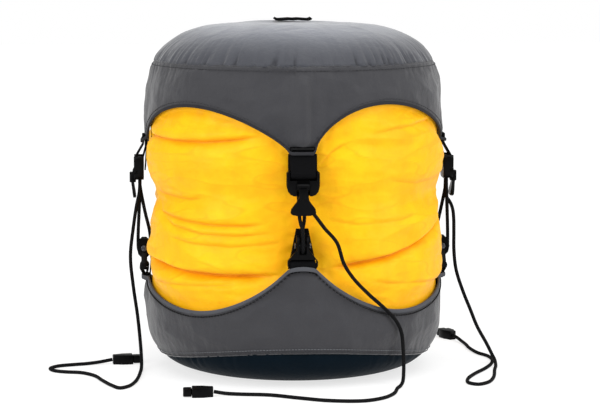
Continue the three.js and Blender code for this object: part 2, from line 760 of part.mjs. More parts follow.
function addLine(side, turn) {
  const line = new THREE.Group();
  const axle = CUP_TIP + frontLift(turn) + AXLE_ABOVE_TIP;
  line.rotation.z = turn;
  line.add(named(`tensioner_webbing_${side}`, tensionerWebbing(), materials.webbing));
  line.add(named(`tensioner_body_${side}`, tensionerBody(), materials.plastic));
  line.add(named(`thumb_lever_${side}`, thumbLever(), materials.plastic));
  line.add(named(`lever_pin_${side}`, leverPin(), materials.plastic));
  line.add(named(`running_cord_${side}`, runningCord(axle), materials.cord));
  line.add(named(`pulley_block_${side}`, pulleyBlock(axle), materials.plastic));
  line.add(named(`pulley_wheel_${side}`, pulleyWheel(axle), materials.plastic));
  line.add(named(`pulley_axle_${side}`, pulleyAxle(axle), materials.steel));
  line.add(named(`pulley_webbing_${side}`, pulleyWebbing(axle), materials.webbing));
  sack.add(line);
}

// Where a free tail leaves its tensioner, turned to its line
function tailStart(turn) {
  return [0, 6.7].map((drop) => new THREE.Vector3(STRAND_PITCH, -STRAND_OUT, STRAND_TOP - drop)
    .applyAxisAngle(new THREE.Vector3(0, 0, 1), turn));
}

function addTail(side, turn, route, endTurn) {
  const points = [...tailStart(turn), ...route.map((point) => new THREE.Vector3(...point))];
  sack.add(named(`free_tail_${side}`, cordAlong(points, 48), materials.cord));
  const end = new THREE.Group();
  const last = points[points.length - 1];
  end.position.set(last.x, last.y, 0);
  end.rotation.z = endTurn;
  const shell = named(`cord_end_${side}`, cordEndShell(), materials.plastic);
  const plug = named(`cord_end_plug_${side}`, cordEndPlug(), materials.plastic);
  shell.position.x = LAYER_GAP;
  plug.position.x = LAYER_GAP;
  end.add(shell, plug);
  sack.add(end);
}

// Free tails: down from the tensioner, over the cup's side and in loose curves on the floor
const frontTail = [
  [5.5, -130.6, 150.5], [8.2, -131, 145.5], [11.5, -131.3, 141], [17.3, -131, 133.2],
  [27.1, -127.8, 121.5], [32.9, -125, 104.3], [40.3, -122.6, 92.6], [52.8, -118, 78.9],
  [66.5, -110.8, 66], [76.8, -104.2, 54.4], [81.8, -100.6, 44], [83.6, -99.4, 27.3],
  [84, -99.4, 12], [83, -103, 4.2], [80.5, -109, 1.8], [77.3, -117, 1.6],
  [72, -138, 1.6], [62, -154, 1.6], [45.5, -164, 1.6], [18.5, -161.5, 1.6],
  [-4.3, -150.5, 1.6], [-27, -138, 1.6], [-50.9, -133.5, 1.6], [-62, -133.5, 2.4], [-71, -134, 4],
];
const leftTail = [
  [-130.8, -6, 148], [-133, -9, 138], [-135.8, -10.5, 120], [-138.5, -11, 95],
  [-136.3, -11.5, 69.5], [-132.8, -12.5, 43.7], [-130.5, -14, 19], [-129.8, -17, 7],
  [-129.8, -24, 2.2], [-130.5, -40, 1.6], [-131.7, -60, 1.6], [-134.5, -82, 1.6],
  [-139.5, -98, 1.6], [-146, -104, 1.6], [-153.1, -93, 1.6], [-161.1, -73, 1.6],
  [-168.4, -53, 1.6], [-180, -40, 1.6], [-192, -36.5, 1.6], [-202, -31, 1.6],
  [-206.5, -21, 1.6], [-200.5, -11, 1.6], [-188, -5.5, 1.6], [-176, -1.5, 1.6],
  [-165, 1.5, 2.4], [-155, 3, 4],
];
const rightTail = [
  [130.3, 4.6, 148], [131.6, 4.4, 142], [134.6, 2, 137], [136, -3, 131.5], [136.2, -7.5, 124],
  [136, -10.5, 113],
  [136, -12, 98], [138, -12, 81.4], [144.3, -11, 62.3], [150.5, -10, 47.3], [157, -9, 31.6],
  [165.3, -9.5, 16.6], [169.6, -13, 7.6], [170.5, -22, 4.8], [169.5, -34, 2.2], [167, -45, 1.6],
  [160.5, -80, 1.6], [153, -99, 1.6], [144, -106, 1.6], [137.5, -100, 1.6], [138.5, -85, 1.6],
  [147, -64, 1.6], [160, -40, 1.6], [168, -20, 1.6], [171, -3, 1.6], [169.6, 13, 1.6],
  [163, 28, 1.6], [159, 50, 1.6], [158, 70, 1.6], [156, 82, 2.2], [153.6, 90.5, 3.4], [150.9, 98, 4],
];

const FRONT = 0;
const RIGHT = Math.PI / 2;
const BACK = Math.PI;
const LEFT = -Math.PI / 2;

addSackAndShells();
addMouthClosure();
addLine('front', FRONT);
addLine('right', RIGHT);
addLine('back', BACK);
addLine('left', LEFT);
addTail('front', FRONT, frontTail, Math.PI);
addTail('left', LEFT, leftTail, THREE.MathUtils.degToRad(8));
addTail('right', RIGHT, rightTail, THREE.MathUtils.degToRad(112));

export default sack;
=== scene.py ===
import math

import bmesh
import bpy
import numpy as np
from bpy.props import FloatProperty, FloatVectorProperty, PointerProperty
from mathutils import Matrix, Vector, noise


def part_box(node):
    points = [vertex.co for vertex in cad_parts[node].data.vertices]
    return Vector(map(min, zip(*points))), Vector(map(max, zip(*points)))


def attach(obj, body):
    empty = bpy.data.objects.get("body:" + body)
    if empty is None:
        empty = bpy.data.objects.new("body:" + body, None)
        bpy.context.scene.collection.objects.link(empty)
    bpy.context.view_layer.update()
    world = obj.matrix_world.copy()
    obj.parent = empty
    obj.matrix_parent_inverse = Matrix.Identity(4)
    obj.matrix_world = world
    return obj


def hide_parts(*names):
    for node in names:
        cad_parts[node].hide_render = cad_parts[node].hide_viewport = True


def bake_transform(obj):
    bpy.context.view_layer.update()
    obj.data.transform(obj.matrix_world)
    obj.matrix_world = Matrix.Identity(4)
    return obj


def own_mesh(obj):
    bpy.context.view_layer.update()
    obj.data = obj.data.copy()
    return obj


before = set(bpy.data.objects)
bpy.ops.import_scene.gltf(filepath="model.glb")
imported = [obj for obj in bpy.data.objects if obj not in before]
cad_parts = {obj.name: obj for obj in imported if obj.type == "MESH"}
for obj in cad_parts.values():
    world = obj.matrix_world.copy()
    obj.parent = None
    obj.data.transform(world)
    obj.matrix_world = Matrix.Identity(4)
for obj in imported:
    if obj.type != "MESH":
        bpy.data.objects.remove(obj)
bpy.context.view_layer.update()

bl_info = {
    "name": "Compression stuff sack",
    "version": (1, 0, 0),
    "blender": (4, 5, 0),
    "location": "View3D > Sidebar > Stuff sack",
    "description": "Sewn shells, packed sack, webbing, cords and moulded fittings of a compression sack",
    "category": "Object",
}

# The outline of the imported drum, as the frame has it
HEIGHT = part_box("cap_crown")[1].z
CAP_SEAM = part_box("cap_band")[1].z
CAP_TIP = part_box("cap_band")[0].z
WALL_RADIUS = 0.1255
FLOOR_RADIUS = 0.080
CORNER_HEIGHT = 0.058
CORNER_POWER = 2.4
CROWN_RISE = 0.092
CROWN_POWER = 3.6
WAIST_PINCH = 0.008
WAIST_SPREAD = 0.045
CAP_ARCH = 0.036
CUP_TIP = 0.078
CUP_SAG = 0.017
BASE_SEAM = 0.013
FRONT_LIFT = 0.018
BASE_RIM_LIFT = 0.0024
FRONT_RIDGE = 0.0036
WAIST = (CAP_TIP + CUP_TIP) / 2
QUARTER = math.pi / 2
TIP_HALF_ANGLE = math.radians(4.5)
SIDES = {"front": 0.0, "right": QUARTER, "back": math.pi, "left": -QUARTER}
TAIL_SIDES = ("front", "left", "right")


# ---------------------------------------------------------------- outline of the drum

def meridian_radius(height, inset):
    wall = WALL_RADIUS - inset
    fall = np.clip((CORNER_HEIGHT - height) / (CORNER_HEIGHT - inset), 0, 1)
    corner = FLOOR_RADIUS + (wall - FLOOR_RADIUS) * (1 - fall**CORNER_POWER) ** (1 / CORNER_POWER)
    rise = np.clip((height - HEIGHT + CROWN_RISE) / (CROWN_RISE - inset), 0, 1)
    crown = wall * (1 - rise**CROWN_POWER) ** (1 / CROWN_POWER)
    return np.where(height < CORNER_HEIGHT, corner, crown)


def crown_height(radius, inset):
    share = np.clip(radius / (WALL_RADIUS - inset), 0, 1)
    return HEIGHT - CROWN_RISE + (CROWN_RISE - inset) * (1 - share**CROWN_POWER) ** (1 / CROWN_POWER)


def line_share(turn):
    return ((1 + np.cos(4 * turn)) / 2) ** 2


def front_lift(turn):
    return FRONT_LIFT * np.maximum(0, np.cos(turn)) ** 2


def wall_radius(turn, height, inset):
    pinch = WAIST_PINCH * np.exp(-(((height - WAIST) / WAIST_SPREAD) ** 2))
    return meridian_radius(height, inset) - pinch * line_share(turn)


def off_line(turn):
    """Signed angle from the nearest compression line."""
    return turn - QUARTER * np.round(turn / QUARTER)


def scallop(turn):
    past = np.maximum(0, np.abs(off_line(turn)) - TIP_HALF_ANGLE) / (QUARTER / 2 - TIP_HALF_ANGLE)
    return np.sin(past * QUARTER) ** 0.95


def cap_scallop(turn):
    """The cap's arcs are fuller than the cup's, and the front right one leans towards the front line."""
    even = 0.98 * scallop(turn) ** 0.78
    share = np.clip((turn - TIP_HALF_ANGLE) / (QUARTER - 2 * TIP_HALF_ANGLE), 0, 1)
    leaning = 1.06 * np.sin(math.pi * share**0.66) ** 0.92
    return np.where((turn > 0) & (turn < QUARTER), np.nan_to_num(leaning), even)


def cap_edge(turn):
    return CAP_TIP + CAP_ARCH * cap_scallop(turn)


def cup_edge(turn):
    fall = CUP_SAG + front_lift(turn)
    peak = 0.006 * np.maximum(0, np.cos(turn)) ** 2 * np.exp(-((off_line(turn) / 0.16) ** 2))
    return CUP_TIP + front_lift(turn) - fall * scallop(turn) + peak


def tip_stand(turn, gap):
    """How far the front tip of the cup is drawn out by its strap, a gap below its edge."""
    pull = 0.0062 * np.maximum(0, np.cos(turn)) ** 2
    return pull * np.exp(-((off_line(turn) / 0.13) ** 2)) * np.exp(-np.maximum(gap, 0) / 0.014)


def base_seam(turn):
    return BASE_SEAM + front_lift(turn)


def smooth_step(low, high, value):
    share = np.clip((value - low) / (high - low), 0, 1)
    return share * share * (3 - 2 * share)


def crumple(points, scales, seed):
    """Smooth noise from -1 to 1 at each point, with its own cell size along each axis."""
    away = Vector((seed * 7.31, seed * 3.17, seed * 1.93))
    cells = points / np.array(scales)
    return np.array([noise.noise(Vector(cell) + away) for cell in cells])


def creases(points, scales, seed):
    """Sharp valleys between smooth ridges: 0 in a valley and up to 1 on a ridge."""
    return np.abs(crumple(points, scales, seed))


# ---------------------------------------------------------------- mesh helpers

def linked(name, mesh):
    piece = bpy.data.objects.new(name, mesh)
    bpy.context.scene.collection.objects.link(piece)
    return piece


def mesh_piece(name, bm, smooth=True):
    mesh = bpy.data.meshes.new(name)
    bm.to_mesh(mesh)
    bm.free()
    mesh.polygons.foreach_set("use_smooth", [smooth] * len(mesh.polygons))
    return linked(name, mesh)


def turns_and_rows(mesh):
    co = np.empty(len(mesh.vertices) * 3)
    mesh.vertices.foreach_get("co", co)
    co = co.reshape(-1, 3)
    return np.arctan2(co[:, 0], -co[:, 1]), co[:, 2], np.hypot(co[:, 0], co[:, 1])


def swept_skin(name, row_count, columns, first_on_axis=False, last_on_axis=False, closed=False):
    """A skin spun round the axis, whose points still hold only their turn and their row number."""
    bm = bmesh.new()
    verts = []
    for row in range(row_count):
        on_axis = (row == 0 and first_on_axis) or (row == row_count - 1 and last_on_axis)
        verts.append(bm.verts.new((0, 0 if on_axis else -1, row)))
    edges = [bm.edges.new(pair) for pair in zip(verts, verts[1:])]
    if closed:
        edges.append(bm.edges.new((verts[-1], verts[0])))
    bmesh.ops.spin(bm, geom=verts + edges, cent=(0, 0, 0), axis=(0, 0, 1), angle=2 * math.pi,
                   steps=columns, use_merge=True)
    bmesh.ops.remove_doubles(bm, verts=bm.verts, dist=1e-5)
    return mesh_piece(name, bm)


def place_skin(piece, shape):
    """Moves each point of a swept skin to shape(turns, rows), which gives radii and heights."""
    turns, rows, share = turns_and_rows(piece.data)
    radii, heights = shape(turns, rows)
    reach = np.where(share > 0.5, radii, 0)
    co = np.column_stack((reach * np.sin(turns), -reach * np.cos(turns), heights))
    set_points(piece.data, co)
    face_outward(piece.data)
    return turns, co


def set_points(mesh, co):
    mesh.vertices.foreach_set("co", co.astype(np.float32).ravel())
    mesh.update()


def get_points(mesh):
    co = np.empty(len(mesh.vertices) * 3)
    mesh.vertices.foreach_get("co", co)
    return co.reshape(-1, 3)


def face_outward(mesh):
    bm = bmesh.new()
    bm.from_mesh(mesh)
    bmesh.ops.recalc_face_normals(bm, faces=bm.faces)
    bm.to_mesh(mesh)
    bm.free()


def add_wall_uv(mesh):
    """U round the drum and V up it, both in metres, with no jump where the turn closes."""
    co = get_points(mesh)
    loops = np.empty(len(mesh.loops), int)
    mesh.loops.foreach_get("vertex_index", loops)
    turn = np.arctan2(co[loops, 0], -co[loops, 1])
    starts = np.empty(len(mesh.polygons), int)
    counts = np.empty(len(mesh.polygons), int)
    mesh.polygons.foreach_get("loop_start", starts)
    mesh.polygons.foreach_get("loop_total", counts)
    first = np.repeat(turn[starts], counts)
    turn = first + (turn - first + math.pi) % (2 * math.pi) - math.pi
    layer = mesh.uv_layers.new(name="UVMap")
    uv = np.column_stack((turn * WALL_RADIUS, co[loops, 2]))
    layer.data.foreach_set("uv", uv.astype(np.float32).ravel())


def add_flat_uv(mesh):
    co = get_points(mesh)
    loops = np.empty(len(mesh.loops), int)
    mesh.loops.foreach_get("vertex_index", loops)
    layer = mesh.uv_layers.new(name="UVMap")
    layer.data.foreach_set("uv", co[loops, :2].astype(np.float32).ravel())


def add_mask(mesh, name, values):
    layer = mesh.attributes.new(name, "FLOAT", "POINT")
    layer.data.foreach_set("value", np.asarray(values, np.float32))


def subdivided(piece, levels):
    """Applies a subdivision surface, so that masks and UVs are made on the final mesh."""
    smoother = piece.modifiers.new("smooth", "SUBSURF")
    smoother.levels = smoother.render_levels = levels
    seen = piece.evaluated_get(bpy.context.evaluated_depsgraph_get())
    finer = bpy.data.meshes.new_from_object(seen)
    piece.modifiers.remove(smoother)
    old = piece.data
    piece.data = finer
    bpy.data.meshes.remove(old)


def solidify(piece, thickness):
    wall = piece.modifiers.new("cloth_wall", "SOLIDIFY")
    wall.thickness = thickness
    wall.offset = -1
    return wall


def finished(piece, material, slot, body, *nodes):
    piece.data.materials.clear()
    piece.data.materials.append(material)
    if nodes:
        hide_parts(*nodes)
    if body:
        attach(piece, body)
    return piece


# ---------------------------------------------------------------- shader helpers

class NodeSheet:
    """A node tree that is filled by short calls; an input that is a socket is linked."""

    def __init__(self, tree):
        self.tree = tree

    def add(self, kind, settings=None, **inputs):
        node = self.tree.nodes.new(kind)
        for key, value in (settings or {}).items():
            setattr(node, key, value)
        for key, value in inputs.items():
            self.feed(node.inputs[socket_key(node, key)], value)
        return node

    def feed(self, socket, value):
        if isinstance(value, bpy.types.NodeSocket):
            self.tree.links.new(value, socket)
        else:
            socket.default_value = value

    def math(self, operation, first, second=0.0):
        node = self.tree.nodes.new("ShaderNodeMath")
        node.operation = operation
        self.feed(node.inputs[0], first)
        self.feed(node.inputs[1], second)
        return node.outputs[0]

    def spread(self, value, low, high, start=0.0, end=1.0):
        return self.add("ShaderNodeMapRange", Value=value, From_Min=start, From_Max=end, To_Min=low,
                        To_Max=high).outputs["Result"]

    def mix(self, factor, first, second):
        node = self.tree.nodes.new("ShaderNodeMix")
        node.data_type = "RGBA"
        self.feed(node.inputs[0], factor)
        self.feed(node.inputs[6], first)
        self.feed(node.inputs[7], second)
        return node.outputs[2]


def socket_key(node, key):
    wanted = key.replace("_", " ")
    for socket in node.inputs:
        if socket.name == wanted:
            return socket.name
    raise KeyError(f"{node.bl_idname} has no input {wanted}")


def new_group(name, inputs, outputs):
    tree = bpy.data.node_groups.new(name, "ShaderNodeTree")
    for label, kind, default in inputs:
        socket = tree.interface.new_socket(label, in_out="INPUT", socket_type=kind)
        if default is not None:
            socket.default_value = default
    for label, kind in outputs:
        tree.interface.new_socket(label, in_out="OUTPUT", socket_type=kind)
    sheet = NodeSheet(tree)
    source = tree.nodes.new("NodeGroupInput").outputs
    sink = tree.nodes.new("NodeGroupOutput").inputs
    return tree, sheet, source, sink


def weave_group():
    """Plain weave: threads over and under each other, with a little slub."""
    tree, sheet, source, sink = new_group(
        "plain_weave",
        [("Vector", "NodeSocketVector", None), ("Threads", "NodeSocketFloat", 1500.0)],
        [("Height", "NodeSocketFloat"), ("Slub", "NodeSocketFloat")],
    )
    spread = sheet.add("ShaderNodeVectorMath", {"operation": "SCALE"}, Vector=source["Vector"],
                       Scale=source["Threads"])
    parts = sheet.add("ShaderNodeSeparateXYZ", Vector=spread.outputs[0])
    across = sheet.math("SINE", parts.outputs["X"])
    along = sheet.math("SINE", parts.outputs["Y"])
    over = sheet.math("MULTIPLY", across, along)
    slub = sheet.add("ShaderNodeTexNoise", Vector=source["Vector"], Scale=420.0, Detail=2.0)
    sheet.feed(sink["Height"], sheet.math("MULTIPLY", over, 0.5))
    sheet.feed(sink["Slub"], slub.outputs["Fac"])
    return tree


def crinkle_group():
    """Soft creases of thin coated cloth, as a height and a colour mask."""
    tree, sheet, source, sink = new_group(
        "crinkle",
        [("Vector", "NodeSocketVector", None), ("Size", "NodeSocketFloat", 60.0)],
        [("Height", "NodeSocketFloat"), ("Mask", "NodeSocketFloat")],
    )
    warp = sheet.add("ShaderNodeTexNoise", Vector=source["Vector"], Scale=source["Size"], Detail=3.0)
    fine = sheet.add("ShaderNodeTexNoise", {"noise_dimensions": "3D"}, Vector=source["Vector"],
                     Scale=sheet.math("MULTIPLY", source["Size"], 3.7), Detail=4.0, Roughness=0.6)
    gap = sheet.math("SUBTRACT", warp.outputs["Fac"], 0.5)
    ridge = sheet.math("POWER", sheet.math("ADD", sheet.math("MULTIPLY", gap, gap), 0.0014), 0.5)
    total = sheet.math("ADD", sheet.math("MULTIPLY", ridge, 1.6),
                       sheet.math("MULTIPLY", fine.outputs["Fac"], 0.35))
    sheet.feed(sink["Height"], total)
    sheet.feed(sink["Mask"], warp.outputs["Fac"])
    return tree


def wear_group():
    """Uneven handling marks: a slow mottle and fine scuffs."""
    tree, sheet, source, sink = new_group(
        "handling_wear",
        [("Vector", "NodeSocketVector", None)],
        [("Mottle", "NodeSocketFloat"), ("Scuff", "NodeSocketFloat")],
    )
    slow = sheet.add("ShaderNodeTexNoise", Vector=source["Vector"], Scale=90.0, Detail=3.0)
    quick = sheet.add("ShaderNodeTexNoise", Vector=source["Vector"], Scale=1400.0, Detail=2.0)
    scuff = sheet.add("ShaderNodeMapRange", Value=quick.outputs["Fac"], From_Min=0.55, From_Max=0.75)
    sheet.feed(sink["Mottle"], slow.outputs["Fac"])
    sheet.feed(sink["Scuff"], scuff.outputs["Result"])
    return tree


def group_of(name, build):
    return bpy.data.node_groups.get(name) or build()


def new_material(name):
    material = bpy.data.materials.new(name)
    material.use_nodes = True
    tree = material.node_tree
    tree.nodes.clear()
    sheet = NodeSheet(tree)
    shader = tree.nodes.new("ShaderNodeBsdfPrincipled")
    output = tree.nodes.new("ShaderNodeOutputMaterial")
    tree.links.new(shader.outputs[0], output.inputs[0])
    return material, sheet, shader


def use_group(sheet, tree, **inputs):
    node = sheet.tree.nodes.new("ShaderNodeGroup")
    node.node_tree = tree
    for key, value in inputs.items():
        sheet.feed(node.inputs[key], value)
    return node.outputs


def bumped(sheet, height, distance, strength=1.0, under=None):
    node = sheet.add("ShaderNodeBump", Strength=strength, Distance=distance, Height=height)
    if under is not None:
        sheet.feed(node.inputs["Normal"], under)
    return node.outputs["Normal"]


def cloth_material(name, colour, shade, roughness, sheen, crinkle_depth, mask=None, threads=9000.0,
                   gloss=0.15):
    """Thin woven cloth: weave, crinkles, a random darker mottle, and painted shade in the folds where a fold
    mask is given.
    """
    material, sheet, shader = new_material(name)
    uv = sheet.add("ShaderNodeUVMap", {"uv_map": "UVMap"}).outputs[0]
    place = sheet.add("ShaderNodeTexCoord").outputs["Object"]
    weave = use_group(sheet, group_of("plain_weave", weave_group), Vector=uv, Threads=threads)
    crinkle = use_group(sheet, group_of("crinkle", crinkle_group), Vector=place, Size=55.0)
    tone = sheet.add("ShaderNodeMapRange", Value=crinkle["Mask"], From_Min=0.3, From_Max=0.7,
                     To_Min=0.0, To_Max=0.35).outputs["Result"]
    # A fold mask attribute paints the shade colour into folds, creases and puckers as painted shade. On the
    # crown it also holds a painted sheen gradient.
    if mask:
        fold = sheet.add("ShaderNodeAttribute", {"attribute_name": mask}).outputs["Fac"]
        tone = sheet.math("MAXIMUM", tone, fold)
    blended = sheet.mix(tone, (*colour, 1), (*shade, 1))
    fleck = sheet.math("MULTIPLY", weave["Slub"], 0.12)
    sheet.feed(shader.inputs["Base Color"], sheet.mix(fleck, blended, (*shade, 1)))
    sheet.feed(shader.inputs["Roughness"], sheet.spread(weave["Slub"], roughness - 0.06, roughness + 0.08))
    shader.inputs["Sheen Weight"].default_value = sheen
    shader.inputs["Sheen Roughness"].default_value = 0.45
    shader.inputs["Specular IOR Level"].default_value = gloss
    creased = bumped(sheet, crinkle["Height"], crinkle_depth, 0.6)
    sheet.feed(shader.inputs["Normal"], bumped(sheet, weave["Height"], 0.00006, 0.35, creased))
    return material


def webbing_material():
    """Black webbing with cross ribs."""
    material, sheet, shader = new_material("ribbed_webbing")
    uv = sheet.add("ShaderNodeUVMap", {"uv_map": "UVMap"}).outputs[0]
    parts = sheet.add("ShaderNodeSeparateXYZ", Vector=uv)
    ribs = sheet.math("SINE", sheet.math("MULTIPLY", parts.outputs["Y"], 2 * math.pi / 0.0011))
    warp = sheet.math("SINE", sheet.math("MULTIPLY", parts.outputs["X"], 2 * math.pi / 0.0009))
    herring = sheet.math("MULTIPLY", ribs, warp)
    height = sheet.math("ADD", sheet.math("MULTIPLY", ribs, 0.6), sheet.math("MULTIPLY", herring, 0.4))
    fuzz = sheet.add("ShaderNodeTexNoise", Vector=uv, Scale=900.0, Detail=3.0).outputs["Fac"]
    tone = sheet.math("MULTIPLY", sheet.math("ADD", sheet.math("MULTIPLY", height, 0.25), fuzz), 0.8)
    sheet.feed(shader.inputs["Base Color"],
               sheet.mix(tone, (0.0008, 0.0008, 0.0010, 1), (0.0036, 0.0036, 0.0044, 1)))
    sheet.feed(shader.inputs["Roughness"], sheet.spread(fuzz, 0.7, 0.9))
    shader.inputs["Specular IOR Level"].default_value = 0.06
    sheet.feed(shader.inputs["Normal"], bumped(sheet, height, 0.00018, 0.8))
    return material


def cord_material():
    """Braided black cord: two sets of strands that cross round it."""
    material, sheet, shader = new_material("braided_cord")
    uv = sheet.add("ShaderNodeUVMap", {"uv_map": "UVMap"}).outputs[0]
    parts = sheet.add("ShaderNodeSeparateXYZ", Vector=uv)
    along = sheet.math("MULTIPLY", parts.outputs["X"], 2 * math.pi / 0.0030)
    round_it = sheet.math("MULTIPLY", parts.outputs["Y"], 2 * math.pi * 4)
    one = sheet.math("SINE", sheet.math("ADD", along, round_it))
    other = sheet.math("SINE", sheet.math("SUBTRACT", along, round_it))
    strand = sheet.math("MAXIMUM", one, other)
    fuzz = sheet.add("ShaderNodeTexNoise", Vector=uv, Scale=700.0, Detail=2.0).outputs["Fac"]
    tone = sheet.math("MULTIPLY", sheet.math("ADD", sheet.math("MULTIPLY", strand, 0.35), fuzz), 0.7)
    sheet.feed(shader.inputs["Base Color"],
               sheet.mix(tone, (0.0010, 0.0010, 0.0012, 1), (0.0070, 0.0071, 0.0080, 1)))
    sheet.feed(shader.inputs["Roughness"], sheet.spread(fuzz, 0.65, 0.85))
    shader.inputs["Specular IOR Level"].default_value = 0.08
    sheet.feed(shader.inputs["Normal"], bumped(sheet, strand, 0.00025, 0.9))
    return material


def plastic_material():
    """Moulded black plastic: fine grain, slight mottle and lighter scuffs."""
    material, sheet, shader = new_material("moulded_plastic")
    place = sheet.add("ShaderNodeTexCoord").outputs["Object"]
    wear = use_group(sheet, group_of("handling_wear", wear_group), Vector=place)
    grain = sheet.add("ShaderNodeTexNoise", Vector=place, Scale=2600.0, Detail=2.0).outputs["Fac"]
    tone = sheet.math("MULTIPLY", wear["Scuff"], 0.35)
    sheet.feed(shader.inputs["Base Color"],
               sheet.mix(tone, (0.0012, 0.0012, 0.0014, 1), (0.0070, 0.0070, 0.0080, 1)))
    sheet.feed(shader.inputs["Roughness"], sheet.spread(wear["Mottle"], 0.24, 0.42))
    shader.inputs["Specular IOR Level"].default_value = 0.07
    sheet.feed(shader.inputs["Normal"], bumped(sheet, grain, 0.00004, 0.5))
    return material


def rivet_material():
    """Blackened steel with bright rubbed spots."""
    material, sheet, shader = new_material("blackened_steel")
    place = sheet.add("ShaderNodeTexCoord").outputs["Object"]
    wear = use_group(sheet, group_of("handling_wear", wear_group), Vector=place)
    sheet.feed(shader.inputs["Base Color"],
               sheet.mix(wear["Scuff"], (0.05, 0.05, 0.055, 1), (0.4, 0.4, 0.42, 1)))
    shader.inputs["Metallic"].default_value = 1.0
    sheet.feed(shader.inputs["Roughness"], sheet.spread(wear["Mottle"], 0.2, 0.42))
    return material


def thread_material(name, dark, light):
    material, sheet, shader = new_material(name)
    place = sheet.add("ShaderNodeTexCoord").outputs["Object"]
    fuzz = sheet.add("ShaderNodeTexNoise", Vector=place, Scale=2400.0, Detail=2.0).outputs["Fac"]
    sheet.feed(shader.inputs["Base Color"], sheet.mix(fuzz, (*dark, 1), (*light, 1)))
    shader.inputs["Roughness"].default_value = 0.7
    shader.inputs["Specular IOR Level"].default_value = 0.2
    sheet.feed(shader.inputs["Normal"], bumped(sheet, fuzz, 0.0001, 0.6))
    return material


MATERIALS = {}


def material_named(name):
    if name not in MATERIALS:
        look = bpy.context.scene.sack_looks
        builders = {
            # Painted shade: the sack's shade colour is painted into its creases, beside the compression lines
            # and under the cap and cup edges through the fold mask. It also gives a random mottle.
            "sack": lambda: cloth_material("yellow_nylon", look.sack_colour, look.sack_shade, 0.5, 0.03,
                                           0.0013, mask="fold"),
            "shell": lambda: cloth_material("charcoal_nylon", look.shell_colour, look.shell_shade, 0.6,
                                            0.30, 0.0016),
            # Painted sheen: the crown is the shell's charcoal cloth, painted much lighter towards its top to
            # stand in for sheen. Its shade colour near the seam is close to the cloth's own.
            "crown": lambda: cloth_material("crown_nylon_painted_sheen", look.crown_painted_sheen_colour, look.crown_shade, 0.5, 0.45,
                                            0.0016, mask="fold"),
            "base": lambda: cloth_material("navy_nylon", look.base_colour, look.base_shade, 0.5, 0.0, 0.0012,
                                           gloss=0.03),
            "binding": lambda: cloth_material("edge_binding", look.binding_colour, look.binding_shade, 0.75,
                                              0.06, 0.0003, threads=6000.0),
            # Painted shade: the cap's edge tape is the same kind of tape as the cup's, painted much darker
            # for the shade on its downward-facing edge.
            "shaded_binding": lambda: cloth_material("shaded_edge_binding", look.shaded_tape_colour, look.tape_shade,
                                                   0.75, 0.04, 0.0003, threads=6000.0),
            "black_thread": lambda: thread_material("black_thread", (0.0012, 0.0012, 0.0015),
                                                    (0.006, 0.006, 0.007)),
            "webbing": webbing_material,
            "cord": cord_material,
            "plastic": plastic_material,
            "rivet": rivet_material,
            "thread": lambda: thread_material("dark_thread", (0.012, 0.012, 0.014), (0.05, 0.05, 0.055)),
            "pale_thread": lambda: thread_material("grey_thread", (0.06, 0.063, 0.07), (0.14, 0.145, 0.155)),
        }
        MATERIALS[name] = builders[name]()
    return MATERIALS[name]


# ---------------------------------------------------------------- stage

def area_light(name, place, aim, size, watts, colour=(1, 1, 1)):
    data = bpy.data.lights.new(name, "AREA")
    data.shape = "RECTANGLE"
    data.size, data.size_y = size
    data.energy = watts
    data.color = colour
    light = linked(name, data)
    light.location = place
    light.rotation_euler = (Vector(aim) - Vector(place)).to_track_quat("-Z", "Y").to_euler()


def build_stage(stage):
    scene = bpy.context.scene
    scene.view_settings.view_transform = "Standard"
    azimuth, elevation = stage.azimuth, stage.elevation
    back = Vector((math.sin(azimuth) * math.cos(elevation), -math.cos(azimuth) * math.cos(elevation),
                   math.sin(elevation)))
    aim = Vector((0, 0, stage.aim_height))
    data = bpy.data.cameras.new("camera")
    data.lens = stage.lens
    data.shift_x = stage.shift_x
    data.shift_y = stage.shift_y
    data.clip_end = 50
    camera = linked("camera", data)
    camera.location = aim + back * stage.distance
    camera.rotation_euler = (-back).to_track_quat("-Z", "Y").to_euler()
    scene.camera = camera

    world = bpy.data.worlds.new("white_room")
    world.use_nodes = True
    sheet = NodeSheet(world.node_tree)
    background = world.node_tree.nodes["Background"]
    background.inputs["Color"].default_value = (1, 1, 1, 1)
    seen = sheet.add("ShaderNodeLightPath").outputs["Is Camera Ray"]
    sheet.feed(background.inputs["Strength"], sheet.spread(seen, stage.room_light, 1.0))
    scene.world = world

    bm = bmesh.new()
    bmesh.ops.create_grid(bm, x_segments=2, y_segments=2, size=6)
    floor = mesh_piece("floor", bm)
    material, sheet, shader = new_material("white_paper")
    place = sheet.add("ShaderNodeTexCoord").outputs["Object"]
    grain = sheet.add("ShaderNodeTexNoise", Vector=place, Scale=30.0).outputs["Fac"]
    sheet.feed(shader.inputs["Base Color"], sheet.mix(grain, (0.29, 0.29, 0.29, 1), (0.31, 0.31, 0.31, 1)))
    sheet.feed(shader.inputs["Emission Color"], sheet.mix(grain, (0.98, 0.98, 0.98, 1), (1, 1, 1, 1)))
    shader.inputs["Emission Strength"].default_value = stage.paper_glow
    shader.inputs["Roughness"].default_value = 0.9
    floor.data.materials.append(material)

    sky = bpy.data.lights.new("soft_overhead", "SUN")
    sky.energy = stage.overhead
    sky.angle = math.radians(70)
    overhead = linked("soft_overhead", sky)
    overhead.rotation_euler = Vector((-0.12, 0.35, -1)).to_track_quat("-Z", "Y").to_euler()
    area_light("left_panel", (-1.5, -1.3, 0.8), (0, 0, 0.15), (1.0, 1.2), 26)
    area_light("right_panel", (1.6, -1.1, 0.7), (0, 0, 0.15), (0.9, 1.2), 20)


# ---------------------------------------------------------------- cords

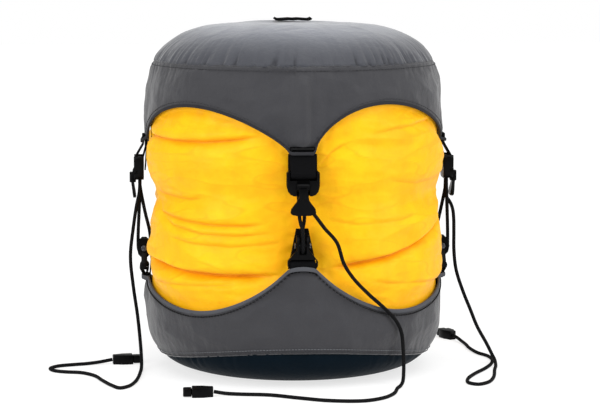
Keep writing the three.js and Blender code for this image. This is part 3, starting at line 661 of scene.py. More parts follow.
TAIL_ROUTES = {
    "front": [
        (0.0055, -0.1306, 0.1505), (0.0082, -0.131, 0.1455), (0.0115, -0.1313, 0.141),
        (0.0173, -0.131, 0.1332), (0.0271, -0.1278, 0.1215), (0.0329, -0.125, 0.1043),
        (0.0403, -0.1226, 0.0926), (0.0528, -0.118, 0.0789), (0.0665, -0.1108, 0.066),
        (0.0768, -0.1042, 0.0544), (0.0818, -0.1006, 0.044), (0.0836, -0.0994, 0.0273),
        (0.084, -0.0994, 0.012), (0.083, -0.103, 0.0042), (0.0805, -0.109, 0.0018),
        (0.0773, -0.117, 0.0016), (0.072, -0.138, 0.0016), (0.062, -0.154, 0.0016),
        (0.0455, -0.164, 0.0016), (0.0185, -0.1615, 0.0016), (-0.0043, -0.1505, 0.0016),
        (-0.027, -0.138, 0.0016), (-0.0509, -0.1335, 0.0016), (-0.062, -0.1335, 0.0024),
        (-0.071, -0.134, 0.004),
    ],
    "left": [
        (-0.1308, -0.006, 0.148), (-0.133, -0.009, 0.138), (-0.1358, -0.0105, 0.12),
        (-0.1385, -0.011, 0.095), (-0.1363, -0.0115, 0.0695), (-0.1328, -0.0125, 0.0437),
        (-0.1305, -0.014, 0.019), (-0.1298, -0.017, 0.007), (-0.1298, -0.024, 0.0022),
        (-0.1305, -0.04, 0.0016), (-0.1317, -0.06, 0.0016), (-0.1345, -0.082, 0.0016),
        (-0.1395, -0.098, 0.0016), (-0.146, -0.104, 0.0016), (-0.1531, -0.093, 0.0016),
        (-0.1611, -0.073, 0.0016), (-0.1684, -0.053, 0.0016), (-0.18, -0.04, 0.0016),
        (-0.192, -0.0365, 0.0016), (-0.202, -0.031, 0.0016), (-0.2065, -0.021, 0.0016),
        (-0.2005, -0.011, 0.0016), (-0.188, -0.0055, 0.0016), (-0.176, -0.0015, 0.0016),
        (-0.165, 0.0015, 0.0024), (-0.155, 0.003, 0.004),
    ],
    "right": [
        (0.1303, 0.0046, 0.148), (0.1316, 0.0044, 0.142), (0.1346, 0.002, 0.137),
        (0.136, -0.003, 0.1315), (0.1362, -0.0075, 0.124), (0.136, -0.0105, 0.113),
        (0.136, -0.012, 0.098), (0.138, -0.012, 0.0814), (0.1443, -0.011, 0.0623),
        (0.1505, -0.01, 0.0473), (0.157, -0.009, 0.0316), (0.1653, -0.0095, 0.0166),
        (0.1696, -0.013, 0.0076), (0.1705, -0.022, 0.0048), (0.1695, -0.034, 0.0022),
        (0.167, -0.045, 0.0016), (0.1605, -0.08, 0.0016), (0.153, -0.099, 0.0016),
        (0.144, -0.106, 0.0016), (0.1375, -0.1, 0.0016), (0.1385, -0.085, 0.0016),
        (0.147, -0.064, 0.0016), (0.16, -0.04, 0.0016), (0.168, -0.02, 0.0016),
        (0.171, -0.003, 0.0016), (0.1696, 0.013, 0.0016), (0.163, 0.028, 0.0016),
        (0.159, 0.05, 0.0016), (0.158, 0.07, 0.0016), (0.156, 0.082, 0.0022),
        (0.1536, 0.0905, 0.0034), (0.1509, 0.098, 0.004),
    ],
}
CORD_RADIUS = 0.0015
STRAND_PITCH = 0.0034
STRAND_OUT = 0.1302
STRAND_TOP = 0.1628
GROOVE_LINE = 0.005


def smooth_route(points, samples=6):
    """Centripetal Catmull-Rom through the points, as the frame's own cords follow them."""
    points = [Vector(p) for p in points]
    ends = [2 * points[0] - points[1], *points, 2 * points[-1] - points[-2]]
    route = []
    for before, start, end, after in zip(ends, ends[1:], ends[2:], ends[3:]):
        knots = [0.0]
        for a, b in ((before, start), (start, end), (end, after)):
            knots.append(knots[-1] + max((b - a).length, 1e-7) ** 0.5)
        for step in range(samples):
            t = knots[1] + (knots[2] - knots[1]) * step / samples
            a1 = before.lerp(start, (t - knots[0]) / (knots[1] - knots[0]))
            a2 = start.lerp(end, (t - knots[1]) / (knots[2] - knots[1]))
            a3 = end.lerp(after, (t - knots[2]) / (knots[3] - knots[2]))
            b1 = a1.lerp(a2, (t - knots[0]) / (knots[2] - knots[0]))
            b2 = a2.lerp(a3, (t - knots[1]) / (knots[3] - knots[1]))
            route.append(b1.lerp(b2, (t - knots[1]) / (knots[2] - knots[1])))
    route.append(points[-1])
    return route


def cord_tube(name, route, radius, sides=12):
    """A closed tube round a route, with U along it in metres and V once round it."""
    bm = bmesh.new()
    uv = bm.loops.layers.uv.new("UVMap")
    direction = (route[1] - route[0]).normalized()
    across = direction.orthogonal().normalized()
    rings, runs, run = [], [], 0.0
    for i, point in enumerate(route):
        ahead = route[min(i + 1, len(route) - 1)] - route[max(i - 1, 0)]
        turned = direction.rotation_difference(ahead.normalized())
        direction = ahead.normalized()
        across = (turned @ across).normalized()
        other = direction.cross(across)
        if i:
            run += (point - route[i - 1]).length
        ring = []
        for side in range(sides):
            angle = 2 * math.pi * side / sides
            ring.append(bm.verts.new(point + radius * (math.cos(angle) * across + math.sin(angle) * other)))
        rings.append(ring)
        runs.append(run)
    for i in range(len(rings) - 1):
        for side in range(sides):
            nxt = (side + 1) % sides
            face = bm.faces.new((rings[i][side], rings[i][nxt], rings[i + 1][nxt], rings[i + 1][side]))
            corners = ((runs[i], side), (runs[i], side + 1), (runs[i + 1], side + 1), (runs[i + 1], side))
            for loop, (u, v) in zip(face.loops, corners):
                loop[uv].uv = (u, v / sides)
    bm.faces.new(reversed(rings[0]))
    bm.faces.new(rings[-1])
    bmesh.ops.recalc_face_normals(bm, faces=bm.faces)
    return mesh_piece(name, bm)


def turned(point, turn):
    return Matrix.Rotation(turn, 3, "Z") @ Vector(point)


def build_free_tails():
    for side in TAIL_SIDES:
        turn = SIDES[side]
        start = [turned((STRAND_PITCH, -STRAND_OUT, STRAND_TOP - drop), turn) for drop in (0, 0.0067)]
        route = smooth_route(start + [Vector(p) for p in TAIL_ROUTES[side]])
        tube = cord_tube(f"cord_tail_{side}", route, CORD_RADIUS)
        finished(tube, material_named("cord"), "cord", None, f"free_tail_{side}")
        ends = [bevelled_copy(f"{name}_{side}", 0.0006, "plastic", "black_plastic", "root")
                for name in ("cord_end", "cord_end_plug")]
        tuple(start[0])
        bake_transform(tube)


def build_running_cords():
    for side, turn in SIDES.items():
        low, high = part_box(f"pulley_wheel_{side}")
        centre = (low + high) / 2
        out, axle = math.hypot(centre.x, centre.y), centre.z
        local = [(-STRAND_PITCH, STRAND_OUT, STRAND_TOP), (-STRAND_PITCH, STRAND_OUT, STRAND_TOP - 0.008),
                 (-0.0026, 0.5 * (STRAND_OUT + out + GROOVE_LINE), 0.5 * (STRAND_TOP + axle)),
                 (-0.0002, out + GROOVE_LINE, axle + 0.012)]
        for i in range(9):
            angle = i / 8 * math.pi
            local.append((0, out + GROOVE_LINE * math.cos(angle), axle - GROOVE_LINE * math.sin(angle)))
        local += [(0.0002, out - GROOVE_LINE, axle + 0.012),
                  (0.0014, 0.5 * (STRAND_OUT + out - GROOVE_LINE), 0.5 * (STRAND_TOP + axle)),
                  (0, STRAND_OUT, STRAND_TOP - 0.008),
                  (0, STRAND_OUT, STRAND_TOP)]
        route = smooth_route([turned((x, -y, z), turn) for x, y, z in local], 4)
        tube = cord_tube(f"line_cord_{side}", route, CORD_RADIUS)
        finished(tube, material_named("cord"), "cord", None, f"running_cord_{side}")
        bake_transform(tube)


# ---------------------------------------------------------------- moulded fittings

def bevelled_copy(node, width, material, slot, body):
    """A finished copy of a frame part: welded, flat faces joined, and every edge rounded."""
    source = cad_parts[node]
    bm = bmesh.new()
    bm.from_mesh(source.data)
    bmesh.ops.remove_doubles(bm, verts=bm.verts, dist=2e-6)
    bmesh.ops.dissolve_limit(bm, angle_limit=math.radians(2), verts=bm.verts, edges=bm.edges)
    bmesh.ops.recalc_face_normals(bm, faces=bm.faces)
    sharp = [e for e in bm.edges if len(e.link_faces) == 2 and e.calc_face_angle() > math.radians(28)]
    bmesh.ops.bevel(bm, geom=sharp, offset=width, offset_type="OFFSET", affect="EDGES", segments=2,
                    profile=0.5, material=-1, clamp_overlap=True)
    piece = mesh_piece(f"{node}_moulded", bm)
    smooth_by_angle(piece)
    return finished(piece, material_named(material), slot, body, node)


def smooth_by_angle(piece, limit=math.radians(40)):
    bm = bmesh.new()
    bm.from_mesh(piece.data)
    for edge in bm.edges:
        if len(edge.link_faces) == 2:
            edge.smooth = edge.calc_face_angle() < limit
    bm.to_mesh(piece.data)
    bm.free()


def build_fittings():
    for side in SIDES:
        bevelled_copy(f"tensioner_body_{side}", 0.0005, "plastic", "black_plastic", "cap")
        bevelled_copy(f"thumb_lever_{side}", 0.0005, "plastic", "black_plastic", f"thumb_lever_{side}")
        bevelled_copy(f"lever_pin_{side}", 0.0002, "plastic", "black_plastic", "cap")
        bevelled_copy(f"pulley_block_{side}", 0.0004, "plastic", "black_plastic", "root")
        bevelled_copy(f"pulley_wheel_{side}", 0.0002, "plastic", "black_plastic", f"pulley_wheel_{side}")
        bevelled_copy(f"pulley_axle_{side}", 0.0003, "rivet", "rivet_steel", "root")


# ---------------------------------------------------------------- packed sack

SACK_INSET = 0.0032
SACK_LOW = 0.050
SACK_HIGH = 0.236
SACK_ROWS = 56
SACK_COLUMNS = 104
WELL_DEPTH = 0.019
WELL_RIM = 0.060
WELL_FLOOR = 0.036


# Creases as (turn in degrees, height in mm) points, with depth, reach below and swell above in mm
FRONT_CREASES = (
    (((-89, 203), (-70, 201), (-52, 199), (-38, 199.5), (-25, 202), (-17, 205), (-11, 209)), 3.6, 3.0, 7.0),
    (((-73, 155), (-57, 153), (-46, 152), (-37, 155)), 1.6, 2.6, 6.0),
    (((-70, 151), (-61, 139), (-47, 135), (-35, 133), (-22, 133), (-11, 135)), 2.4, 2.8, 8.0),
    (((-65, 140), (-52, 130), (-38, 125.5), (-25, 125), (-7, 128)), 1.7, 2.2, 5.0),
    (((-61, 124), (-43, 117.5), (-27, 116), (-11, 119), (-4, 123)), 1.3, 2.0, 5.0),
    (((-84, 100), (-61, 96.5), (-45, 93), (-29, 92), (-17, 93), (-5, 94)), 6.0, 4.0, 12.0),
    (((-74, 80), (-52, 82), (-33, 84), (-22, 87)), 1.2, 2.4, 5.0),
    (((6, 98), (12, 99), (22, 102), (34, 106), (45, 112), (58, 123), (70, 135), (84, 148)), 5.6, 4.0, 13.0),
    (((22, 90), (34, 85), (48, 83), (83, 76)), 1.4, 2.4, 6.0),
    (((25, 205), (37, 210), (51, 212.5), (69, 215)), 1.3, 2.2, 4.0),
    (((6, 180), (11, 192), (17, 200)), 1.2, 2.4, 4.0),
    (((8, 139), (22, 134), (39, 135.5), (52, 141)), 0.9, 2.6, 6.0),
    (((30, 170), (48, 164), (66, 166), (80, 172)), 0.9, 2.6, 6.0),
)


def crease_copies():
    """The creases of the front half, and shallower, shifted ones for the back half."""
    for points, depth, below, above in FRONT_CREASES:
        yield points, depth, below, above
        shifted = tuple((turn + 180 if turn < 0 else turn - 180, height + 3 * math.sin(turn / 23))
                        for turn, height in points)
        yield tuple(sorted(shifted)), depth * 0.85, below, above


def fold_lines(turn, height):
    """The sack's creases as a change of radius, in metres, and a mask of painted shade in the valleys."""
    degrees = np.degrees(turn)
    change = np.zeros_like(turn)
    valley = np.zeros_like(turn)
    for points, depth, below, above in crease_copies():
        turns, heights = zip(*points)
        line = np.interp(degrees, turns, heights) / 1000
        taper = (turns[-1] - turns[0]) * 0.22
        reach = smooth_step(turns[0], turns[0] + taper, degrees)
        reach = reach * (1 - smooth_step(turns[-1] - taper, turns[-1], degrees))
        gap = (height - line) * 1000
        drop = np.where(gap < 0, np.exp(gap / below), np.exp(-((gap / (0.45 * below)) ** 2)))
        swell = np.where(gap > 0, np.exp(-(((gap - above * 0.7) / (above * 0.6)) ** 2)), 0)
        change += reach * depth * (0.36 * swell - 1.15 * drop) / 1000
        # Painted shade: the valley just below each crease line is darkened in colour.
        dark = reach * min(0.9, 0.35 + depth / 8) * np.exp(-((gap / (0.46 * below)) ** 2))
        valley = np.maximum(valley, dark)
    return change, valley


def sack_shape(turns, rows):
    """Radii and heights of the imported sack, from its base to the well under the cap."""
    last = SACK_ROWS - 1
    share = rows / last
    low_end, high_start = 0.10, 0.86
    floor_share = np.clip(share / low_end, 0, 1)
    heights = SACK_INSET + (SACK_LOW - SACK_INSET) * np.clip((floor_share - 0.35) / 0.65, 0, 1) ** 2
    wall = (share > low_end) & (share <= high_start)
    heights = np.where(wall, SACK_LOW + (SACK_HIGH - SACK_LOW) * (share - low_end) / (high_start - low_end),
                       heights)
    radii = wall_radius(turns, heights, SACK_INSET)
    radii = np.where(floor_share < 0.35, FLOOR_RADIUS * floor_share / 0.35, radii)
    heights = heights + 0.0062 * smooth_step(0.030, 0.080, radii) * (1 - smooth_step(0.0, 0.030, heights))
    radii = radii - 0.0020 * (1 - smooth_step(0.020, 0.045, heights))
    top = share > high_start
    rim = meridian_radius(np.array(SACK_HIGH), SACK_INSET)
    inward = rim * (1 - (share - high_start) / (1 - high_start))
    well = WELL_DEPTH * smooth_step(0, 1, (WELL_RIM - inward) / (WELL_RIM - WELL_FLOOR))
    radii = np.where(top, inward, radii)
    heights = np.where(top, crown_height(inward, SACK_INSET) - well, heights)
    return radii, heights


def settle_cloth(piece, held, slack_height, frames, pressure, most_out, most_in):
    """Lets slack cloth swell and buckle between the places where it is held, then keeps the result."""
    start = get_points(piece.data)
    group = piece.vertex_groups.new(name="held")
    for weight in np.unique(np.round(held, 1)):
        if weight > 0:
            group.add(np.nonzero(np.round(held, 1) == weight)[0].tolist(), float(weight), "REPLACE")
    piece.shape_key_add(name="Basis")
    rest = piece.shape_key_add(name="slack")
    rest.data.foreach_set("co", slack_height(start).astype(np.float32).ravel())
    rest.value = 0
    cloth = piece.modifiers.new("settle", "CLOTH")
    settings = cloth.settings
    settings.quality = 5
    settings.mass = 0.12
    settings.tension_stiffness = 12
    settings.compression_stiffness = 12
    settings.shear_stiffness = 4
    settings.bending_stiffness = 0.08
    settings.use_pressure = True
    settings.uniform_pressure_force = pressure
    settings.vertex_group_mass = "held"
    settings.rest_shape_key = rest
    settings.effector_weights.gravity = 0
    cloth.collision_settings.use_collision = False
    cloth.point_cache.frame_end = frames
    scene = bpy.context.scene
    for frame_number in range(1, frames + 1):
        scene.frame_set(frame_number)
    seen = piece.evaluated_get(bpy.context.evaluated_depsgraph_get())
    settled = get_points(seen.data)
    piece.modifiers.remove(cloth)
    piece.shape_key_clear()
    piece.vertex_groups.clear()
    scene.frame_set(1)
    before, after = np.hypot(start[:, 0], start[:, 1]), np.hypot(settled[:, 0], settled[:, 1])
    moved = after - before
    kept = before + np.where(moved > 0, most_out * np.tanh(moved / most_out),
                             most_in * np.tanh(moved / most_in))
    settled[:, :2] *= (kept / np.maximum(after, 1e-6))[:, None]
    settled[:, 2] = start[:, 2] + np.clip(settled[:, 2] - start[:, 2], -0.010, 0.010)
    set_points(piece.data, settled)
    return settled


def build_sack():
    piece = swept_skin("packed_sack", SACK_ROWS, SACK_COLUMNS, True, True)
    turns, co = place_skin(piece, sack_shape)
    heights = co[:, 2]
    open_room = np.minimum(cap_edge(turns) - heights, heights - cup_edge(turns))
    pull = np.exp(-((off_line(turns) / 0.10) ** 2)) * np.exp(-(((heights - 0.145) / 0.045) ** 2))
    main_crease = fold_lines(turns, heights)[0]
    sideways = smooth_step(0.30, 0.85, np.abs(np.sin(turns))) * (1 - np.exp(-((off_line(turns) / 0.16) ** 2)))
    waist = 0.150 + 0.004 * np.cos(turns)
    pillows = 1 - 0.75 * np.exp(-(((heights - waist) / 0.013) ** 2))
    swollen = (0.0022 * (1 - line_share(turns)) + 0.0075 * sideways) * pillows
    swollen = swollen * smooth_step(0, 0.022, open_room)
    push_out(piece, co, swollen - 0.0035 * pull + 0.5 * main_crease * smooth_step(0, 0.01, open_room))
    held = 1 - smooth_step(-0.004, 0.004, open_room)
    held = np.maximum(held, np.exp(-((off_line(turns) / 0.07) ** 2)))
    held = np.maximum(held, 0.8 * smooth_step(0.0012, 0.0030, -main_crease))

    def slack_height(points):
        taller = points.copy()
        taller[:, 2] = WAIST + (points[:, 2] - WAIST) * 1.045
        return taller

    settle_cloth(piece, np.clip(held, 0, 1), slack_height, 14, 3.0, 0.0055, 0.0055)
    subdivided(piece, 2)
    crease_sack(piece)
    finished(piece, material_named("sack"), "sack_fabric", None, "sack_body")
    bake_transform(piece)


def push_out(piece, co, change):
    radii = np.hypot(co[:, 0], co[:, 1])
    co[:, :2] *= ((radii + change) / np.maximum(radii, 1e-6))[:, None]
    set_points(piece.data, co)


def crease_sack(piece):
    """Works the sharp creases, edge puckers and fine crumples into the settled sack, and stores the fold mask
    of painted shade for its colour.
    """
    co = get_points(piece.data)
    turns, heights = np.arctan2(co[:, 0], -co[:, 1]), co[:, 2]
    open_room = np.minimum(cap_edge(turns) - heights, heights - cup_edge(turns))
    shown = smooth_step(-0.004, 0.006, open_room)
    fold, valley = fold_lines(turns, heights)
    ring = np.column_stack((np.sin(turns) * 15, np.cos(turns) * 15, heights * 8))
    puckers = np.abs(crumple(ring, (1, 1, 1), 6)) * np.exp(-np.maximum(open_room, 0) / 0.010)
    slow = 0.0013 * crumple(co, (0.055, 0.055, 0.017), 1)
    ripple = 0.0017 * creases(co, (0.040, 0.040, 0.010), 2)
    fine = 0.0006 * creases(co, (0.013, 0.013, 0.006), 3)
    beside = np.exp(-((off_line(turns) / 0.22) ** 2))
    gather = 0.0016 * creases(np.column_stack((turns * 6, heights * 95, turns * 0)), (1, 1, 1), 4) * beside
    change = shown * (fold + slow - ripple - fine - gather - 0.0020 * puckers)
    push_out(piece, co, change)
    reach = np.hypot(co[:, 0], co[:, 1])
    edge_limit = wall_radius(turns, heights, 0.0012) + 0.55 * np.clip(open_room, 0, 0.020)
    under_cord = smooth_step(0.02, 0.10, turns) * (1 - smooth_step(0.75, 0.85, turns))
    under_cord *= 1 - smooth_step(0.120, 0.135, heights)
    limit = np.minimum(edge_limit, 0.1310 - 0.0037 * under_cord)
    push_out(piece, co, np.minimum(0, np.where(shown > 0, limit, WALL_RADIUS) - reach))
    add_wall_uv(piece.data)
    # Painted shade for the fold mask: darker beside the compression lines, under the cap and cup edges, along
    # the crease valleys and in the crumple valleys.
    near_line = np.exp(-((off_line(turns) / 0.09) ** 2)) * smooth_step(0.0, 0.02, open_room + 0.01)
    near_edge = np.exp(-np.maximum(open_room, 0) / 0.005) * 0.45
    fold_shade = np.maximum(valley, np.maximum(0.55 * near_line, near_edge))
    crumple_shade = 0.35 * smooth_step(0.25, 0.0, creases(co, (0.040, 0.040, 0.010), 2) * 2)
    add_mask(piece.data, "fold", np.clip(np.maximum(fold_shade, crumple_shade) * shown, 0, 1))


# ---------------------------------------------------------------- cap and cup

BAND_COLUMNS = 384


def shell_crumple(co, seed):
    slow = 0.0024 * crumple(co, (0.046, 0.046, 0.030), seed)
    sharp = 0.0024 * creases(co, (0.034, 0.034, 0.024), seed + 1)
    fine = 0.0007 * creases(co, (0.012, 0.012, 0.016), seed + 2)
    return slow - sharp - fine + 0.0006


def seam_puckers(turns, gap, seed, cells=26, reach=0.012):
    """Short puckers square to a seam, fading away from it."""
    ring = np.column_stack((np.sin(turns) * cells, np.cos(turns) * cells, gap * 20))
    pucker = np.array([abs(noise.noise(Vector(p) + Vector((seed, seed, seed)))) for p in ring])
    return pucker * np.exp(-gap / reach)


def tip_ridges(turns, above_tip, height):
    """Tension ridges that fan out from each tip."""
    fan = 0.05 + above_tip * 1.6
    away = np.abs(off_line(turns))
    ridge = np.exp(-((away / fan) ** 2)) - 0.6 * np.exp(-(((away - fan * 1.7) / fan) ** 2))
    return height * ridge * np.exp(-above_tip / 0.035)


def radial_move(piece, co, change):
    radii = np.hypot(co[:, 0], co[:, 1])
    scale = (radii + change) / np.maximum(radii, 1e-6)
    co[:, 0] *= scale
    co[:, 1] *= scale
    set_points(piece.data, co)


def band_skin(name, low, high, rows):
    piece = swept_skin(name, rows, BAND_COLUMNS)

    def shape(turns, row):
        heights = low(turns) + (high(turns) - low(turns)) * row / (rows - 1)
        return wall_radius(turns, heights, 0), heights

    turns, co = place_skin(piece, shape)
    return piece, turns, co


def build_cap():
    band, turns, co = band_skin("cap_side", cap_edge, lambda t: CAP_SEAM + 0 * t, 44)
    gap = CAP_SEAM - co[:, 2]
    change = shell_crumple(co, 11) * smooth_step(0, 0.006, gap)
    middle = 0.35 + 0.65 * np.exp(-((off_line(turns) / 0.30) ** 2))
    change -= 0.0040 * seam_puckers(turns, gap, 5, cells=30, reach=0.014) * middle
    change += tip_ridges(turns, np.maximum(co[:, 2] - CAP_TIP, 0), 0.0036)
    across = off_line(turns) * WALL_RADIUS
    fold = smooth_step(-0.016, 0.003, across) * (1 - smooth_step(0.003, 0.007, across))
    front = np.maximum(0, np.cos(turns)) ** 8
    inside = smooth_step(0.004, 0.014, gap) * smooth_step(0.002, 0.012, co[:, 2] - CAP_TIP)
    change += FRONT_RIDGE * front * fold * inside
    change *= smooth_step(-0.002, 0.010, co[:, 2] - cap_edge(turns)) * 0.8 + 0.2
    change *= smooth_step(-0.002, 0.004, gap)
    radial_move(band, co, change)
    add_wall_uv(band.data)
    solidify(band, 0.0012)
    finished(band, material_named("shell"), "shell_fabric", "cap", "cap_band")
    build_crown()
    # The cap tape's colour is painted shade for its downward-facing edge.
    edge_binding("cap_edge_tape", cap_edge, 1, 0.0026, "shaded_binding", "cap", "cap_binding")
    stitch_row("cap_edge_stitches", cap_edge, 0.0036, "thread", "cap")
    stitch_row("crown_seam_stitches", lambda t: CAP_SEAM + 0 * t, -0.0028, "thread", "cap", out=0.0005)


def build_crown():
    rows = 60
    piece = swept_skin("cap_top", rows, BAND_COLUMNS, last_on_axis=True)
    rim = float(meridian_radius(np.array(CAP_SEAM), 0))

    def shape(turns, row):
        radii = rim * (1 - row / (rows - 1)) ** 0.8
        return radii, crown_height(radii, 0)

    turns, co = place_skin(piece, shape)
    radii = np.hypot(co[:, 0], co[:, 1])
    inward = rim - radii
    puckers = seam_puckers(turns, inward, 9, cells=30, reach=0.008)
    fine = seam_puckers(turns, inward, 31, cells=58, reach=0.005)
    slow = crumple(co, (0.055, 0.055, 0.055), 21)
    wrinkle = creases(co, (0.030, 0.030, 0.030), 23)
    change = -0.0058 * puckers - 0.0030 * fine + 0.0020 * slow - 0.0012 * wrinkle
    change += 0.0012 * np.exp(-inward / 0.010)
    change *= smooth_step(-0.002, 0.003, inward)
    normal = np.column_stack((co[:, 0], co[:, 1], (co[:, 2] - (HEIGHT - CROWN_RISE)) * 1.2))
    normal /= np.maximum(np.linalg.norm(normal, axis=1), 1e-9)[:, None]
    set_points(piece.data, co + normal * change[:, None])
    add_flat_uv(piece.data)
    # Painted light: the mask keeps the darker cloth colour near the seam and fades to the painted sheen of
    # the light crown colour towards the top. The puckers get painted shade.
    low = 0.9 * np.exp(-((inward / 0.034) ** 2))
    add_mask(piece.data, "fold", np.clip(np.maximum(puckers * 2.6, low), 0, 1))
    solidify(piece, 0.0012)
    finished(piece, material_named("crown"), "crown_fabric", "cap", "cap_crown")
    seam_piping("crown_seam", CAP_SEAM, "cap")


def seam_piping(name, height, body):
    """The rolled seam allowance between the crown and the side."""
    rows = 10
    piece = swept_skin(name, rows, BAND_COLUMNS, closed=True)

    def shape(turns, row):
        angle = 2 * math.pi * row / rows
        ring = np.column_stack((np.sin(turns) * 30, np.cos(turns) * 30, turns * 0))
        wave = np.array([noise.noise(Vector(p)) for p in ring])
        centre = wall_radius(turns, height + 0 * turns, 0) - 0.0010
        out = centre + 0.0007 * np.cos(angle) + 0.0003 * wave
        return out, height + 0.0008 * np.sin(angle) + 0.0007 * wave

    place_skin(piece, shape)
    add_wall_uv(piece.data)
    finished(piece, material_named("shell"), "shell_fabric", body)


def edge_binding(name, edge, up, width, tape, body, node):
    """Tape folded over an edge: a flat loop that follows it. up is 1 where the cloth is above the edge."""
    rows = 14
    piece = swept_skin(name, rows, BAND_COLUMNS, closed=True)
    thick = 0.0010

    def shape(turns, row):
        angle = 2 * math.pi * row / rows
        flat = np.sign(np.sin(angle)) * np.abs(np.sin(angle)) ** 0.6
        heights = edge(turns) + up * (width / 2 - 0.0008) + flat * width / 2
        ripple = crumple(np.column_stack((np.sin(turns) * 34, np.cos(turns) * 34, turns * 0)), (1, 1, 1), 41)
        over_webbing = 1 - smooth_step(0.0096, 0.0130, np.abs(off_line(turns)) * WALL_RADIUS)
        centre = wall_radius(turns, edge(turns), 0) - 0.0004 + 0.0002 * ripple + 0.0050 * over_webbing
        centre = centre + (tip_stand(turns, 0) if up < 0 else 0)
        return centre + thick * np.sign(np.cos(angle)) * np.abs(np.cos(angle)) ** 0.5, heights

    place_skin(piece, shape)
    add_wall_uv(piece.data)
    finished(piece, material_named(tape), "binding", body, node)


def stitch_row(name, edge, offset, thread, body, pitch=0.0032, out=0.0009, thick=0.0005):
    """Small raised stitches in a row, a set distance above an edge."""
    count = int(2 * math.pi * WALL_RADIUS / pitch)
    bm = bmesh.new()
    for i in range(count):
        turn = 2 * math.pi * i / count
        step = 0.002
        angles = np.array([turn, turn + step])
        heights = edge(angles) + offset
        radii = wall_radius(angles, heights, 0) + out
        if body == "root":
            radii = radii + tip_stand(angles, cup_edge(angles) - heights)
        here, ahead = [Vector((r * math.sin(a), -r * math.cos(a), h))
                       for r, a, h in zip(radii, angles, heights)]
        along = (ahead - here).normalized()
        outward = Vector((math.sin(turn), -math.cos(turn), 0))
        side = along.cross(outward).normalized()
        frame_matrix = Matrix((along, outward, side)).transposed().to_4x4()
        made = bmesh.ops.create_cube(bm, size=1)["verts"]
        bmesh.ops.scale(bm, vec=(pitch * 0.72, thick, thick), verts=made)
        bmesh.ops.transform(bm, matrix=Matrix.Translation(here) @ frame_matrix, verts=made)
    piece = mesh_piece(name, bm)
    finished(piece, material_named(thread), "binding", body)


def build_cup():
    band, turns, co = band_skin("cup_side", base_seam, cup_edge, 40)
    below = cup_edge(turns) - co[:, 2]
    above = co[:, 2] - base_seam(turns)
    change = shell_crumple(co, 51) * smooth_step(0, 0.008, above)
    change += tip_ridges(turns, np.maximum(CUP_TIP + front_lift(turns) - co[:, 2], 0), 0.0022)
    change -= 0.0012 * seam_puckers(turns, above, 61)
    change *= smooth_step(-0.002, 0.010, below) * 0.8 + 0.2
    radial_move(band, co, change + tip_stand(turns, below))
    add_wall_uv(band.data)
    solidify(band, 0.0012)
    finished(band, material_named("shell"), "shell_fabric", "root", "cup_band")
    edge_binding("cup_edge_tape", cup_edge, -1, 0.0034, "binding", "root", "cup_binding")
    stitch_row("cup_edge_stitches", cup_edge, -0.0040, "black_thread", "root", pitch=0.0028, thick=0.0009)
    stitch_row("base_seam_stitches_upper", base_seam, 0.0040, "pale_thread", "root", 0.0026, 0.0006)
    stitch_row("base_seam_stitches_lower", base_seam, 0.0016, "thread", "root", 0.0026, 0.0006)
    build_base()


def build_base():
    rows = 46
    piece = swept_skin("base_panel", rows, BAND_COLUMNS, first_on_axis=True)

    def shape(turns, row):
        share = row / (rows - 1)
        flat = 0.3
        climb = np.clip((share - flat) / (1 - flat), 0, 1)
        heights = (base_seam(turns) + 0.0004) * climb**2
        radii = np.where(share < flat, FLOOR_RADIUS * share / flat, wall_radius(turns, heights, 0))
        return radii, heights

    turns, co = place_skin(piece, shape)
    height = co[:, 2]
    pucker = seam_puckers(turns, np.maximum(base_seam(turns) - height, 0), 71, cells=20, reach=0.010)
    change = 0.0010 * crumple(co, (0.03, 0.03, 0.02), 73) - 0.0022 * pucker
    change = change * smooth_step(0.001, 0.006, height)
    change -= 0.0006 * smooth_step(0.75, 1.0, height / np.maximum(base_seam(turns), 1e-6))
    radial_move(piece, co, change)
    radii = np.hypot(co[:, 0], co[:, 1])
    co[:, 2] += BASE_RIM_LIFT * smooth_step(0.040, 0.082, radii) * (1 - smooth_step(0.000, 0.020, height))
    set_points(piece.data, co)
    add_flat_uv(piece.data)
    solidify(piece, 0.0012)
    finished(piece, material_named("base"), "base_fabric", "root", "base_disc")


# ---------------------------------------------------------------- webbing

WEB_WIDTH = 0.020
WEB_THICKNESS = 0.0013


def ribbon(name, path, width, thickness, place, taper=1.0):
    """Webbing along a path of (out, up) points; place turns (across, out, up) into a point."""
    lengths = [0.0]
    for a, b in zip(path, path[1:]):
        lengths.append(lengths[-1] + math.dist(a, b))
    steps, across_steps = 4 * (len(path) - 1), 12
    bm = bmesh.new()
    bmesh.ops.create_grid(bm, x_segments=steps, y_segments=across_steps, size=1)
    uv = bm.loops.layers.uv.new("UVMap")
    outs, ups = zip(*path)
    for vert in bm.verts:
        share = (vert.co.x + 1) / 2
        across = vert.co.y * width / 2 * (1 + (taper - 1) * share)
        run = share * lengths[-1]
        for loop in vert.link_loops:
            loop[uv].uv = (across, run)
        edge_roll = 0.0003 * (abs(vert.co.y) > 0.95)
        out, up = np.interp(run, lengths, outs), np.interp(run, lengths, ups)
        vert.co = place(across, out - edge_roll, up)
    piece = mesh_piece(name, bm)
    wall = solidify(piece, thickness)
    wall.offset = 0
    roll = piece.modifiers.new("soft_edges", "BEVEL")
    roll.width = 0.00035
    roll.segments = 2
    roll.limit_method = "ANGLE"
    roll.angle_limit = math.radians(50)
    return piece


